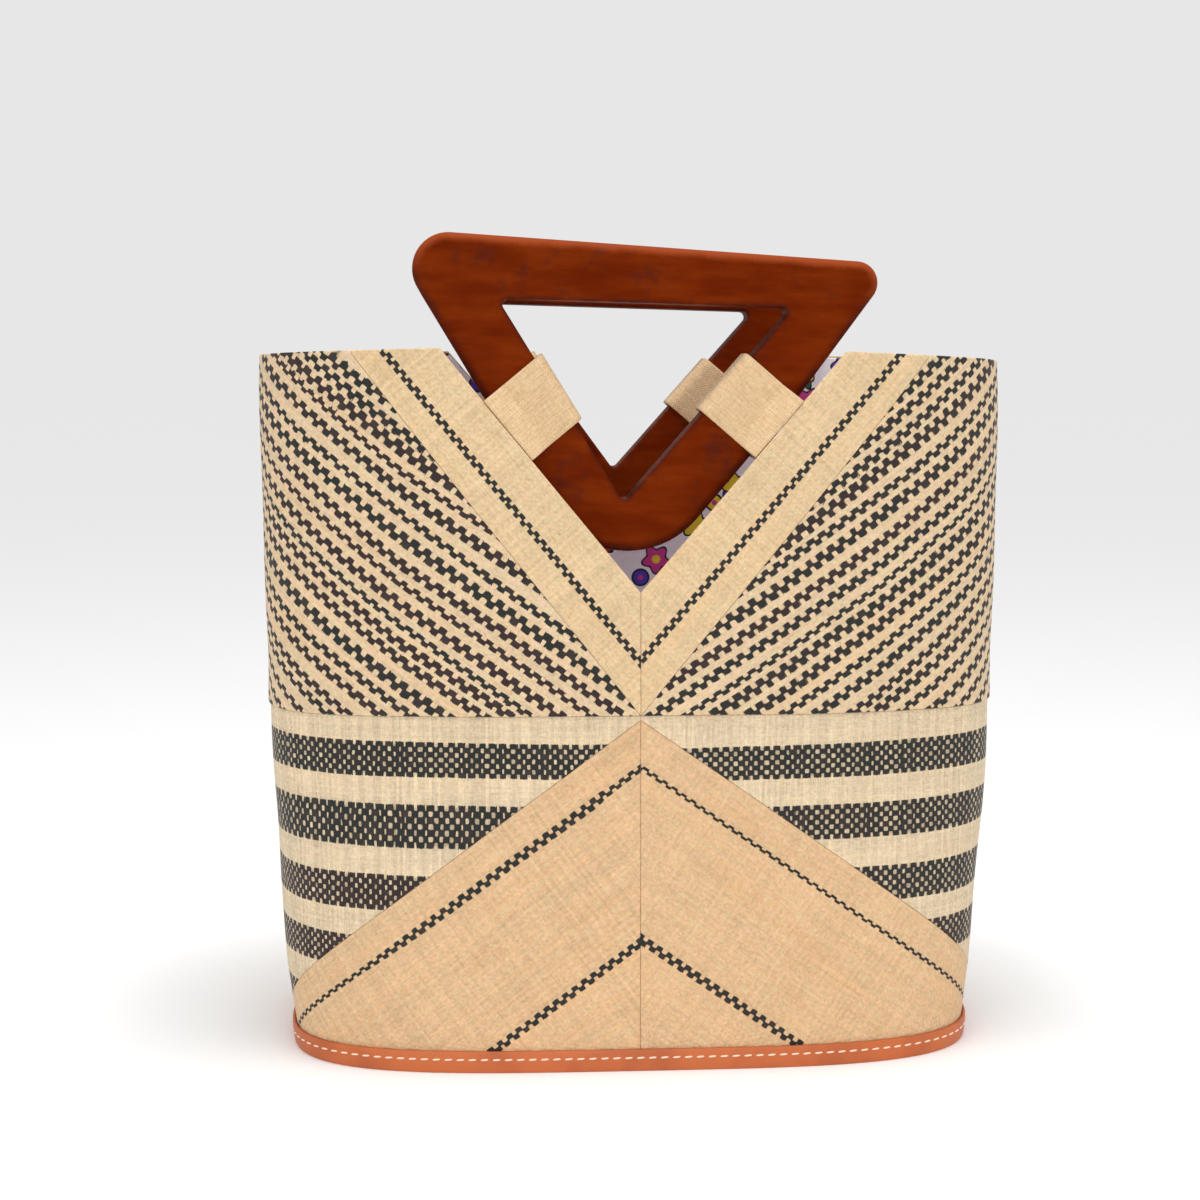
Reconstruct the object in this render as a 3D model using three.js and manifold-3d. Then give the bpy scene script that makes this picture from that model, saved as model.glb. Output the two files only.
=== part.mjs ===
// A raffia bucket bag: patchwork walls of woven raffia with a V notch at the front and the back,
// a cloth lining, a sole plate with a leather strip round it, and two wooden triangle handles that
// hang in raffia loops. Millimetres, +Z up. The front looks along -Y, left is -X for both walls,
// and the origin is on the ground under the middle of the base.

import * as THREE from 'three';
import Module from 'manifold-3d';

const wasm = await Module();
wasm.setup();

// Body, a squarish oval |x / a|^n + |y / b|^n = 1 whose half sizes change with the height
const rimHeight = 304;
const rimSideDrop = 4.4;
const bottomWidth = 299.7;
const middleWidth = 319.5;
const topWidth = 323.8;
const bottomDepth = 155.9;
const middleDepth = 150.2;
const topDepth = 143.1;
const squareness = 3.67;

// Layers of the wall, from the outside in
const clearance = 0.3;
const raffiaThickness = 1.1;
const upperPanelStep = 1.1;
const liningThickness = 1;
const liningEdgeDrop = 1;

// Seams, as heights and as distances round the wall from the middle of the front or the back
const crossSeamHeight = 151.8;
const notchTipHeight = { front: 203.2, back: 212 };
const notchHalfWidth = { front: 84.7, back: 79.5 };
const notchLean = 2;
const bandWidth = 38.3;
const chevronApexHeight = 149.8;
const chevronReachLeft = 191;
const chevronReachRight = 201;

// Foot
const baseThickness = 3;
const stripHeight = 9.2;
const stripThickness = 1.4;
const stripBevel = 0.8;

// Handles, drawn as a triangle with its sharp corner at the origin before the corners are rounded
const handleReach = { left: 110, right: 104.2 };
const handleRise = { left: 161.5, right: 159.5 };
const handleThickness = 18;
const handleRoundover = 4;
const holeRoundover = 1.5;
const handleDepths = [0, 0.45, 1.5, 4];
const barAtTip = {
  front: { left: 27.3, right: 32.7 },
  back: { left: 35, right: 32.7 },
};
const barAtTop = { left: 26, right: 23.9 };
const topBar = { left: 26, right: 20.5 };
const leftShoulderRadius = 15;
const rightShoulderRadius = 9;
const tipRadius = 38;
const tipLift = 8;
const bendShare = 0.6;
const bendRadius = 60;
const holeRadius = 2.5;
const handleTilt = THREE.MathUtils.degToRad(3.3);
const handleTipBelowNotch = { front: 17.6, back: 24.9 };
const handleShift = { front: -5.7, back: -7.5 };

// Loops
const loopWidth = {
  front: { left: 31.4, right: 30.5 },
  back: { left: 28, right: 28 },
};
const loopThickness = 1.2;
const loopDistance = {
  front: { left: 86.4, right: 88.7 },
  back: { left: 82, right: 79.5 },
};
const loopSlack = {
  front: { left: 2.3, right: 1.4 },
  back: { left: 1.4, right: 1.4 },
};
const loopRounding = 3.3;
const loopTabLength = 9;

// How fine the facets are
const wallTurnStep = THREE.MathUtils.degToRad(10);
const wallLongestStep = 34;
const arcStep = THREE.MathUtils.degToRad(18);
const wallRows = 3;
const liningRows = 5;

const upperOuter = upperPanelStep / 2;
const upperInner = upperOuter - raffiaThickness;
const lowerOuter = upperOuter - upperPanelStep;
const lowerInner = lowerOuter - raffiaThickness;
const liningOuter = lowerInner - clearance;
const liningInner = liningOuter - liningThickness;
const stripInner = lowerOuter + clearance;
const stripOuter = stripInner + stripThickness;

const materials = {
  raffia: new THREE.MeshStandardMaterial({ color: 0xe1c59b, roughness: 0.85, metalness: 0 }),
  stripedRaffia: new THREE.MeshStandardMaterial({ color: 0x8f7b62, roughness: 0.85, metalness: 0 }),
  bandedRaffia: new THREE.MeshStandardMaterial({ color: 0xa08a6c, roughness: 0.85, metalness: 0 }),
  loopRaffia: new THREE.MeshStandardMaterial({ color: 0xe8cfa6, roughness: 0.85, metalness: 0 }),
  lining: new THREE.MeshStandardMaterial({ color: 0xd7cddc, roughness: 0.8, metalness: 0 }),
  leather: new THREE.MeshStandardMaterial({ color: 0xcd6937, roughness: 0.5, metalness: 0 }),
  wood: new THREE.MeshStandardMaterial({ color: 0x6e210a, roughness: 0.35, metalness: 0 }),
};

const bag = new THREE.Group();

// The parabola through three values at the foot, half height and the rim
function throughThree(bottom, middle, top, z) {
  const u = z / rimHeight;
  return bottom * (1 - u) * (1 - 2 * u) + middle * 4 * u * (1 - u) + top * u * (2 * u - 1);
}

// One quarter of the plan at a height, from the middle of a wall to the side, with its arc length
const quarters = new Map();

function quarterPlan(z) {
  const key = z.toFixed(4);
  if (quarters.has(key)) return quarters.get(key);
  const a = throughThree(bottomWidth, middleWidth, topWidth, z) / 2;
  const b = throughThree(bottomDepth, middleDepth, topDepth, z) / 2;
  const samples = 360;
  const points = [];
  const lengths = [0];
  for (let i = 0; i <= samples; i += 1) {
    const angle = (Math.PI / 2) * (i / samples);
    const across = Math.sin(angle);
    const deep = Math.cos(angle);
    const radius = ((across / a) ** squareness + (deep / b) ** squareness) ** (-1 / squareness);
    points.push([radius * across, radius * deep]);
    if (i > 0) {
      const [x0, y0] = points[i - 1];
      const [x1, y1] = points[i];
      lengths.push(lengths[i - 1] + Math.hypot(x1 - x0, y1 - y0));
    }
  }
  const quarter = { a, b, points, lengths, length: lengths[samples] };
  quarters.set(key, quarter);
  return quarter;
}

// The distance round from the middle of a wall to its side seam, at the cross seam's height.
// Distances round the wall are measured there and shrink with the plan at other heights.
const seamDistance = quarterPlan(crossSeamHeight).length;

// A point of the wall: round is the distance from the middle of the face, to the right when it is
// positive, and out is how far the point stands off the middle surface. The back is turned by 180.
function wallPoint(face, round, z, out) {
  const quarter = quarterPlan(z);
  const wanted = (Math.min(Math.abs(round), seamDistance) / seamDistance) * quarter.length;
  let i = 1;
  while (i < quarter.lengths.length - 1 && quarter.lengths[i] < wanted) i += 1;
  const part = (wanted - quarter.lengths[i - 1]) / (quarter.lengths[i] - quarter.lengths[i - 1]);
  const across = THREE.MathUtils.lerp(quarter.points[i - 1][0], quarter.points[i][0], part);
  const deep = THREE.MathUtils.lerp(quarter.points[i - 1][1], quarter.points[i][1], part);
  const slopeX = (across / quarter.a) ** (squareness - 1) / quarter.a;
  const slopeY = (deep / quarter.b) ** (squareness - 1) / quarter.b;
  const steep = Math.hypot(slopeX, slopeY);
  const x = Math.sign(round) * (across + (out * slopeX) / steep);
  const y = -(deep + (out * slopeY) / steep);
  return face === 'front' ? new THREE.Vector3(x, y, z) : new THREE.Vector3(-x, -y, z);
}

// Distances round one quarter of the wall: close together where it turns, wide where it is flat
function wallStations() {
  const fine = 400;
  const stations = [0];
  let spent = 0;
  let last = wallPoint('front', 0, crossSeamHeight, 0);
  let heading = 0;
  for (let i = 1; i <= fine; i += 1) {
    const round = (seamDistance * i) / fine;
    const point = wallPoint('front', round, crossSeamHeight, 0);
    const newHeading = Math.atan2(point.y - last.y, point.x - last.x);
    const turned = i === 1 ? 0 : newHeading - heading;
    spent += turned / wallTurnStep + seamDistance / fine / wallLongestStep;
    if (spent >= 1 && i < fine) {
      stations.push(round);
      spent = 0;
    }
    last = point;
    heading = newHeading;
  }
  return stations;
}

const quarterStations = wallStations();

// The stations strictly between two distances, with those two and any wanted corners
function stationsBetween(from, to, corners = []) {
  const closest = 1.5;
  const fixed = [from, ...corners.filter((c) => c > from && c < to), to];
  const between = quarterStations.filter((s) => s > from && s < to)
    .filter((s) => fixed.every((f) => Math.abs(f - s) > closest));
  return [...fixed, ...between].sort((p, q) => p - q);
}

// Seam heights at a distance round the wall, side being -1 to the left of the middle and 1 to the right
function rimAt(face, round) {
  const half = notchHalfWidth[face];
  const share = Math.max(0, (Math.abs(round) - half) / (seamDistance - half));
  return rimHeight - rimSideDrop * share;
}

function notchCorner(face, side) {
  return notchHalfWidth[face] + side * notchLean;
}

function notchEdgeAt(face, round, side) {
  const tip = notchTipHeight[face];
  return tip + ((rimHeight - tip) * round) / notchCorner(face, side);
}

function bandEdgeAt(face, round, side) {
  const foot = notchCorner(face, side) + bandWidth;
  return crossSeamHeight + ((rimHeight - crossSeamHeight) * round) / foot;
}

function chevronEdgeAt(round, side) {
  const reach = side < 0 ? chevronReachLeft : chevronReachRight;
  return chevronApexHeight - ((chevronApexHeight - stripHeight) * round) / reach;
}

// Builds a mesh from vertices and triangles
function meshGeometry(vertices, triangles) {
  const geometry = new THREE.BufferGeometry();
  geometry.setAttribute('position', new THREE.Float32BufferAttribute(vertices.flatMap((v) => v.toArray()), 3));
  geometry.setIndex(triangles);
  return geometry;
}

// Turns every triangle over where the solid came out inside out
function facingOut(geometry) {
  const index = geometry.getIndex().array;
  const position = geometry.getAttribute('position');
  const [p, q, r] = [new THREE.Vector3(), new THREE.Vector3(), new THREE.Vector3()];
  let volume = 0;
  for (let i = 0; i < index.length; i += 3) {
    p.fromBufferAttribute(position, index[i]);
    q.fromBufferAttribute(position, index[i + 1]);
    r.fromBufferAttribute(position, index[i + 2]);
    volume += p.dot(q.cross(r));
  }
  if (volume > 0) return geometry;
  const turned = [];
  for (let i = 0; i < index.length; i += 3) turned.push(index[i], index[i + 2], index[i + 1]);
  geometry.setIndex(turned);
  return geometry;
}

// A curved plate of the wall between two height lines: outer and inner skins and four edges
function platePiece(face, side, stations, low, high, outer, inner) {
  const vertices = [];
  const triangles = [];
  const rows = wallRows + 1;
  const skins = 2;
  for (const round of stations) {
    for (let j = 0; j < rows; j += 1) {
      const z = THREE.MathUtils.lerp(low(round), high(round), j / wallRows);
      vertices.push(wallPoint(face, side * round, z, outer), wallPoint(face, side * round, z, inner));
    }
  }
  const at = (i, j, skin) => (i * rows + j) * skins + skin;
  const quad = (p, q, r, s) => triangles.push(p, q, r, p, r, s);
  const last = stations.length - 1;
  for (let i = 0; i < last; i += 1) {
    for (let j = 0; j < wallRows; j += 1) {
      quad(at(i, j, 0), at(i + 1, j, 0), at(i + 1, j + 1, 0), at(i, j + 1, 0));
      quad(at(i, j, 1), at(i, j + 1, 1), at(i + 1, j + 1, 1), at(i + 1, j, 1));
    }
    quad(at(i, 0, 0), at(i, 0, 1), at(i + 1, 0, 1), at(i + 1, 0, 0));
    quad(at(i, wallRows, 0), at(i + 1, wallRows, 0), at(i + 1, wallRows, 1), at(i, wallRows, 1));
  }
  for (let j = 0; j < wallRows; j += 1) {
    quad(at(0, j, 0), at(0, j + 1, 0), at(0, j + 1, 1), at(0, j, 1));
    quad(at(last, j, 0), at(last, j, 1), at(last, j + 1, 1), at(last, j + 1, 0));
  }
  return facingOut(meshGeometry(vertices, triangles));
}

// Adds a named piece to the bag
function addPiece(name, geometry, material) {
  const mesh = new THREE.Mesh(geometry, material);
  mesh.name = name;
  bag.add(mesh);
  return mesh;
}

// The four raffia panels on one side of the middle of the front or the back
function addPanels(face, side) {
  const hand = (face === 'front') === (side < 0) ? 'left' : 'right';
  const start = clearance / 2;
  const end = seamDistance - clearance / 2;
  const reach = side < 0 ? chevronReachLeft : chevronReachRight;
  const bandFoot = notchCorner(face, side) + bandWidth;
  const slimmest = 0.6;

  const belowBand = (r) => bandEdgeAt(face, r, side) - clearance;
  const stripedStart = (bandFoot * (slimmest + 2 * clearance)) / (rimHeight - crossSeamHeight);
  const stripedHigh = (r) => Math.min(belowBand(r), rimAt(face, r));
  const stripedCorner = findCrossing((r) => belowBand(r) - rimAt(face, r), notchHalfWidth[face], bandFoot + 20);
  addPiece(
    `${face}_striped_${hand}`,
    platePiece(face, side, stationsBetween(stripedStart, end, [stripedCorner]),
      () => crossSeamHeight + clearance / 2, stripedHigh, upperOuter, upperInner),
    materials.stripedRaffia,
  );

  const notchTop = (r) => Math.min(notchEdgeAt(face, r, side), rimAt(face, r));
  const bandOver = (r) => bandEdgeAt(face, r, side) + slimmest - rimAt(face, r);
  const bandEnd = findCrossing(bandOver, notchHalfWidth[face], bandFoot + 20);
  addPiece(
    `${face}_band_${hand}`,
    platePiece(face, side, stationsBetween(start, bandEnd, [notchCorner(face, side)]),
      (r) => Math.max(bandEdgeAt(face, r, side), crossSeamHeight + clearance / 2), notchTop, upperOuter, upperInner),
    materials.raffia,
  );

  const foot = baseThickness + clearance;
  const sidesHigh = crossSeamHeight - clearance / 2;
  const overChevron = (r) => Math.max(chevronEdgeAt(r, side) + clearance, foot);
  const sidesStart = findCrossing((r) => sidesHigh - slimmest - overChevron(r), 0, reach);
  const chevronFoot = findCrossing((r) => foot + slimmest - chevronEdgeAt(r, side), 0, seamDistance * 1.2);
  const chevronEnd = Math.min(end, chevronFoot);
  addPiece(
    `${face}_sides_${hand}`,
    platePiece(face, side, stationsBetween(sidesStart, end),
      overChevron, () => sidesHigh, lowerOuter, lowerInner),
    materials.bandedRaffia,
  );
  addPiece(
    `${face}_chevron_${hand}`,
    platePiece(face, side, stationsBetween(start, chevronEnd),
      () => foot, (r) => chevronEdgeAt(r, side), lowerOuter, lowerInner),
    materials.raffia,
  );
}

// The distance where a rising function passes zero, by halving
function findCrossing(f, from, to) {
  let low = from;
  let high = to;
  for (let i = 0; i < 50; i += 1) {
    const middle = (low + high) / 2;
    if (f(middle) < 0) low = middle;
    else high = middle;
  }
  return (low + high) / 2;
}

// Stations once round the whole bag, each with its face and its signed distance, corners included
function stationsAround() {
  const around = [];
  for (const face of ['front', 'back']) {
    const left = stationsBetween(0, seamDistance, [notchCorner(face, -1)]).map((s) => -s).reverse();
    const right = stationsBetween(0, seamDistance, [notchCorner(face, 1)]);
    for (const round of [...left.slice(1), ...right.slice(1)].sort((p, q) => p - q)) {
      around.push({ face, round });
    }
    around.push({ face, round: 0 });
  }
  return around.sort((p, q) => (p.face === q.face ? p.round - q.round : p.face === 'front' ? -1 : 1));
}

// A closed ring swept round the bag: profile(station) gives its points as [out, z] pairs
function ringPiece(stations, profile) {
  const vertices = [];
  const triangles = [];
  const count = profile(stations[0]).length;
  for (const station of stations) {
    for (const [out, z] of profile(station)) vertices.push(wallPoint(station.face, station.round, z, out));
  }
  for (let i = 0; i < stations.length; i += 1) {
    const next = (i + 1) % stations.length;
    for (let j = 0; j < count; j += 1) {
      const up = (j + 1) % count;
      const [p, q, r, s] = [i * count + j, next * count + j, next * count + up, i * count + up];
      triangles.push(p, q, r, p, r, s);
    }
  }
  return { vertices, triangles, count };
}

// A solid swept round the bag whose profile runs from the axis out and back to the axis
function bowlPiece(stations, profile) {
  const vertices = [];
  const triangles = [];
  const count = profile(stations[0]).length;
  for (const station of stations) {
    for (const [out, z] of profile(station)) vertices.push(wallPoint(station.face, station.round, z, out));
  }
  for (let i = 0; i < stations.length; i += 1) {
    const next = (i + 1) % stations.length;
    for (let j = 0; j < count - 1; j += 1) {
      const [p, q, r, s] = [i * count + j, next * count + j, next * count + j + 1, i * count + j + 1];
      triangles.push(p, q, r, p, r, s);
    }
  }
  const first = profile(stations[0]);
  for (const [j, turn] of [[0, true], [count - 1, false]]) {
    const centre = vertices.length;
    vertices.push(new THREE.Vector3(0, 0, first[j][1]));
    for (let i = 0; i < stations.length; i += 1) {
      const [p, q] = [i * count + j, ((i + 1) % stations.length) * count + j];
      triangles.push(...(turn ? [centre, q, p] : [centre, p, q]));
    }
  }
  return facingOut(meshGeometry(vertices, triangles));
}

// The lining follows the notches and the rim, a little below the raffia
function addLining() {
  const floor = baseThickness + clearance;
  const topAt = ({ face, round }) => {
    const side = round < 0 ? -1 : 1;
    return Math.min(notchEdgeAt(face, Math.abs(round), side), rimAt(face, round)) - liningEdgeDrop;
  };
  const profile = (station) => {
    const top = topAt(station);
    const outside = [];
    const inside = [];
    for (let j = 0; j <= liningRows; j += 1) {
      const share = j / liningRows;
      outside.push([liningOuter, THREE.MathUtils.lerp(floor, top, share)]);
      inside.unshift([liningInner, THREE.MathUtils.lerp(floor + liningThickness, top, share)]);
    }
    return [...outside, ...inside];
  };
  addPiece('lining', bowlPiece(stationsAround(), profile), materials.lining);
}

// The sole plate and the leather strip round it
function addFoot() {
  const stations = stationsAround();
  addPiece('base', bowlPiece(stations, () => [[lowerOuter, 0], [lowerOuter, baseThickness]]), materials.leather);
  const { vertices, triangles } = ringPiece(stations, () => [
    [stripInner, 0],
    [stripOuter - stripBevel, 0],
    [stripOuter, stripBevel],
    [stripOuter, stripHeight - stripBevel],
    [stripOuter - stripBevel, stripHeight],
    [stripInner, stripHeight],
  ]);
  addPiece('leather_strip', facingOut(meshGeometry(vertices, triangles)), materials.leather);
}

// A closed outline with its corners rounded, drawn inwards by an inset: each corner has its place
// and its radius
function roundedOutline(corners, inset = 0) {
  const outline = [];
  corners.forEach(({ point, radius }, i) => {
    const before = corners[(i + corners.length - 1) % corners.length].point;
    const after = corners[(i + 1) % corners.length].point;
    const toBefore = before.clone().sub(point).normalize();
    const toAfter = after.clone().sub(point).normalize();
    const half = Math.acos(toBefore.dot(toAfter)) / 2;
    const middle = toBefore.clone().add(toAfter).normalize();
    const centre = point.clone().addScaledVector(middle, radius / Math.sin(half));
    const from = point.clone().addScaledVector(toBefore, radius / Math.tan(half)).sub(centre).angle();
    const turn = Math.PI - 2 * half;
    const way = Math.sign(toBefore.cross(toAfter)) > 0 ? -1 : 1;
    const steps = Math.ceil(turn / arcStep);
    for (let k = 0; k <= steps; k += 1) {
      const angle = from + (way * turn * k) / steps;
      const spoke = new THREE.Vector2(Math.cos(angle), Math.sin(angle));
      outline.push(centre.clone().addScaledVector(spoke, radius - inset));
    }
  });
  return outline;
}

// The handle's outer triangle and its hole, before rounding. The edges' lines meet at the origin.
// The lower part of the right edge turns in a little, so the tip itself lies higher on the left edge.
function handleCorners(face) {
  const slant = (hand) => Math.atan(handleReach[hand] / handleRise[hand]);
  const [left, right] = [slant('left'), slant('right')];
  const holeCorner = (hand, side) => {
    const up = handleRise[hand] - topBar[hand];
    return new THREE.Vector2(side * (up * Math.tan(slant(hand)) - barAtTop[hand] / Math.cos(slant(hand))), up);
  };
  const bar = barAtTip[face];
  const tipX = (bar.left / Math.sin(left) - bar.right / Math.sin(right))
    / (1 / Math.tan(left) + 1 / Math.tan(right));
  const tipY = bar.left / Math.sin(left) - tipX / Math.tan(left);
  return {
    outer: {
      left: new THREE.Vector2(-handleReach.left, handleRise.left),
      right: new THREE.Vector2(handleReach.right, handleRise.right),
      bend: new THREE.Vector2(handleReach.right, handleRise.right).multiplyScalar(bendShare),
      tip: new THREE.Vector2(-Math.sin(left), Math.cos(left)).multiplyScalar(tipLift),
      lines: new THREE.Vector2(0, 0),
    },
    hole: {
      left: holeCorner('left', -1),
      right: holeCorner('right', 1),
      tip: new THREE.Vector2(tipX, tipY),
    },
  };
}

// How far from the middle the outer face of each handle lies: its loops clear the lining
const notchWall = wallPoint('front', notchHalfWidth.front, rimHeight, liningInner);
const handleFace = -notchWall.y - loopThickness - 2 * clearance;
const handleTip = (face) => (
  new THREE.Vector3(handleShift[face], 0, notchTipHeight[face] - handleTipBelowNotch[face])
);

// A point of the handle's own drawing, placed in the bag: tilted clockwise as seen from the front
function onHandle(face, point) {
  const place = handleTip(face);
  return new THREE.Vector2(
    place.x + point.x * Math.cos(handleTilt) + point.y * Math.sin(handleTilt),
    place.z - point.x * Math.sin(handleTilt) + point.y * Math.cos(handleTilt),
  );
}

// How far a rounded edge draws an outline in, at a depth below the flat face
function edgeInset(roundover, depth) {
  const left = Math.max(roundover - depth, 0);
  return roundover - Math.sqrt(roundover * roundover - left * left);
}

// A handle is lofted through its thickness. Its outer edges are rounder than the hole's.
function addHandle(face) {
  const { outer, hole } = handleCorners(face);
  const outerCorners = [
    { point: outer.tip, radius: tipRadius },
    { point: outer.bend, radius: bendRadius },
    { point: outer.right, radius: rightShoulderRadius },
    { point: outer.left, radius: leftShoulderRadius },
  ];
  const holeCorners = [hole.tip, hole.right, hole.left].map((point) => ({ point, radius: holeRadius }));
  const farDepths = handleDepths.map((depth) => handleThickness - depth).reverse();
  const depths = [...handleDepths, ...farDepths];
  const below = (depth) => Math.min(depth, handleThickness - depth);
  const way = face === 'front' ? -1 : 1;
  const place = (k, point) => {
    const spot = onHandle(face, point);
    return new THREE.Vector3(spot.x, way * (handleFace - depths[k]), spot.y);
  };
  const handle = loftPiece(
    depths.map((depth) => roundedOutline(outerCorners, edgeInset(handleRoundover, below(depth)))),
    depths.map((depth) => roundedOutline(holeCorners, -edgeInset(holeRoundover, below(depth)))),
    place,
  );
  addPiece(`handle_${face}`, handle, materials.wood);
}

// Where a line from a point in a direction meets the line through two points, as a distance
function meets(point, direction, through, other) {
  const along = other.clone().sub(through);
  return through.clone().sub(point).cross(along) / direction.cross(along);
}

// A rounded rectangle in the plane of a loop's section, across by deep
function loopOutline(fromAcross, toAcross, fromDeep, toDeep, radius) {
  return roundedOutline([
    { point: new THREE.Vector2(fromAcross, fromDeep), radius },
    { point: new THREE.Vector2(toAcross, fromDeep), radius },
    { point: new THREE.Vector2(toAcross, toDeep), radius },
    { point: new THREE.Vector2(fromAcross, toDeep), radius },
  ]);
}

// A solid through matching outlines, one at each station, with an optional matching hole
function loftPiece(outlines, holes, place) {
  const vertices = [];
  const triangles = [];
  const skin = (rings, turn) => {
    const base = vertices.length;
    const count = rings[0].length;
    rings.forEach((ring, k) => ring.forEach((point) => vertices.push(place(k, point))));
    for (let k = 0; k < rings.length - 1; k += 1) {
      for (let j = 0; j < count; j += 1) {
        const up = (j + 1) % count;
        const [p, q] = [base + k * count + j, base + (k + 1) * count + j];
        const [r, s] = [base + (k + 1) * count + up, base + k * count + up];
        triangles.push(...(turn ? [p, r, q, p, s, r] : [p, q, r, p, r, s]));
      }
    }
    return (k, j) => base + k * count + j;
  };
  const outerAt = skin(outlines, false);
  const holeAt = holes ? skin(holes, true) : null;
  const count = outlines[0].length;
  for (const [k, turn] of [[0, true], [outlines.length - 1, false]]) {
    const faces = THREE.ShapeUtils.triangulateShape(outlines[k], holes ? [holes[k]] : []);
    const index = (j) => (j < count ? outerAt(k, j) : holeAt(k, j - count));
    for (const [p, q, r] of faces) {
      triangles.push(...(turn ? [index(p), index(q), index(r)] : [index(p), index(r), index(q)]));
    }
  }
  return facingOut(meshGeometry(vertices, triangles));
}

// Joins two closed solids into one
function joined(first, second) {
  const [p, q] = [first, second].map((geometry) => new wasm.Manifold(new wasm.Mesh({
    numProp: 3,
    vertProperties: new Float32Array(geometry.getAttribute('position').array),
    triVerts: new Uint32Array(geometry.getIndex().array),
  })));
  const { vertProperties, triVerts } = p.add(q).getMesh();
  const geometry = new THREE.BufferGeometry();
  geometry.setAttribute('position', new THREE.BufferAttribute(new Float32Array(vertProperties), 3));
  geometry.setIndex([...triVerts]);
  return geometry;
}

// A raffia loop: a ring round the slanting bar, and a tab from the ring to the notch's edge
function addLoop(face, hand) {
  const x = hand === 'left' ? -1 : 1;
  const side = face === 'front' ? x : -x;
  const depth = face === 'front' ? -1 : 1;
  const notchTip = new THREE.Vector2(0, notchTipHeight[face]);
  const corner = new THREE.Vector2(x * notchCorner(face, side), rimHeight);
  const along = corner.clone().sub(notchTip).normalize();
  const inward = new THREE.Vector2(-x * along.y, x * along.x);
  const { outer, hole } = handleCorners(face);
  const [barOut, barOutTip] = [onHandle(face, outer[hand]), onHandle(face, outer.lines)];
  const [barIn, barInTip] = [onHandle(face, hole[hand]), onHandle(face, hole.tip)];
  const stations = [-0.5, 0.5].map((share) => {
    const foot = notchTip.clone().addScaledVector(along, loopDistance[face][hand] + share * loopWidth[face][hand]);
    return {
      foot,
      from: meets(foot, inward, barOutTip, barOut) - clearance,
      to: meets(foot, inward, barInTip, barIn) + clearance + loopSlack[face][hand],
    };
  });
  const place = (k, point) => {
    const spot = stations[k].foot.clone().addScaledVector(inward, point.x);
    return new THREE.Vector3(spot.x, depth * point.y, spot.y);
  };
  const deepest = handleFace + clearance;
  const nearest = handleFace - handleThickness - clearance;
  const grown = loopThickness;
  const ring = loftPiece(
    stations.map(({ from, to }) => (
      loopOutline(from - grown, to + grown, nearest - grown, deepest + grown, loopRounding + grown)
    )),
    stations.map(({ from, to }) => loopOutline(from, to, nearest, deepest, loopRounding)),
    place,
  );
  const tabOuter = -wallPoint('front', notchHalfWidth[face], rimHeight, upperInner).y;
  const tab = loftPiece(
    stations.map(() => [
      new THREE.Vector2(clearance, deepest + grown / 4),
      new THREE.Vector2(loopTabLength, deepest + grown / 4),
      new THREE.Vector2(loopTabLength, deepest + grown / 2),
      new THREE.Vector2(clearance, tabOuter),
    ]),
    null,
    place,
  );
  addPiece(`loop_${face}_${hand}`, joined(ring, tab), materials.loopRaffia);
}

for (const face of ['front', 'back']) {
  for (const side of [-1, 1]) addPanels(face, side);
}
addLining();
addFoot();
for (const face of ['front', 'back']) {
  addHandle(face);
  for (const hand of ['left', 'right']) addLoop(face, hand);
}

export default bag;
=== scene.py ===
import math
import bpy
import numpy as np
from mathutils import Matrix, Vector


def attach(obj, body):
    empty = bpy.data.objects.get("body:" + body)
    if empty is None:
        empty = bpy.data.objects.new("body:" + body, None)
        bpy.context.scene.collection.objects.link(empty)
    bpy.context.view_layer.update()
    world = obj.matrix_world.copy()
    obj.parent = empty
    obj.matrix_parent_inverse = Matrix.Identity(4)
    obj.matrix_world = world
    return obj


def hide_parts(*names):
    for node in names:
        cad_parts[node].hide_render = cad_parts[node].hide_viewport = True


# The raffia bucket bag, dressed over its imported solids. All sizes are in millimetres and are turned
# into metres where a mesh is made. Left is -X for both walls, and the front looks along -Y.
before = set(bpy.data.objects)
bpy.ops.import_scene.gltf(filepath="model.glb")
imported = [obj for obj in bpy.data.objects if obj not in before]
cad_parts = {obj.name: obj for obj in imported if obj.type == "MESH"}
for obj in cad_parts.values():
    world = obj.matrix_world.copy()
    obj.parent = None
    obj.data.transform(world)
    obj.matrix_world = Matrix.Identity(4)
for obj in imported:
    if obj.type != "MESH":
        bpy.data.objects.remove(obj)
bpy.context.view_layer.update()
print("frame loaded")

# Body: widths and depths at the foot, half height and the rim, and the power of the squarish oval
body = {
    "rimHeight": 304,
    "rimSideDrop": {"left": 3.2, "right": 5.2},
    "rimSag": {"left": 0, "right": 1.2},
    "widths": (299.7, 319.5, 323.8),
    "depths": (155.9, 150.2, 143.1),
    "squareness": 3.67,
    "rippleHeight": 0.9,
    "leanHeights": (0, 10, 35, 70, 110, 150, 175, 304),
    "lean": (0, 0, 2.0, 1.8, 0.6, -0.3, -2.2, -2.8),
}

# Layers of the wall as distances from its middle surface
layers = {
    "upperOuter": 0.55,
    "raffia": 1.1,
    "step": 1.1,
    "lining": 1.0,
    "gap": 0.3,
    "crease": 0.06,
}
layers["upperInner"] = layers["upperOuter"] - layers["raffia"]
layers["lowerOuter"] = layers["upperOuter"] - layers["step"]
layers["lowerInner"] = layers["lowerOuter"] - layers["raffia"]
layers["liningOuter"] = layers["lowerInner"] - layers["gap"]
layers["liningInner"] = layers["liningOuter"] - layers["lining"]

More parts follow.
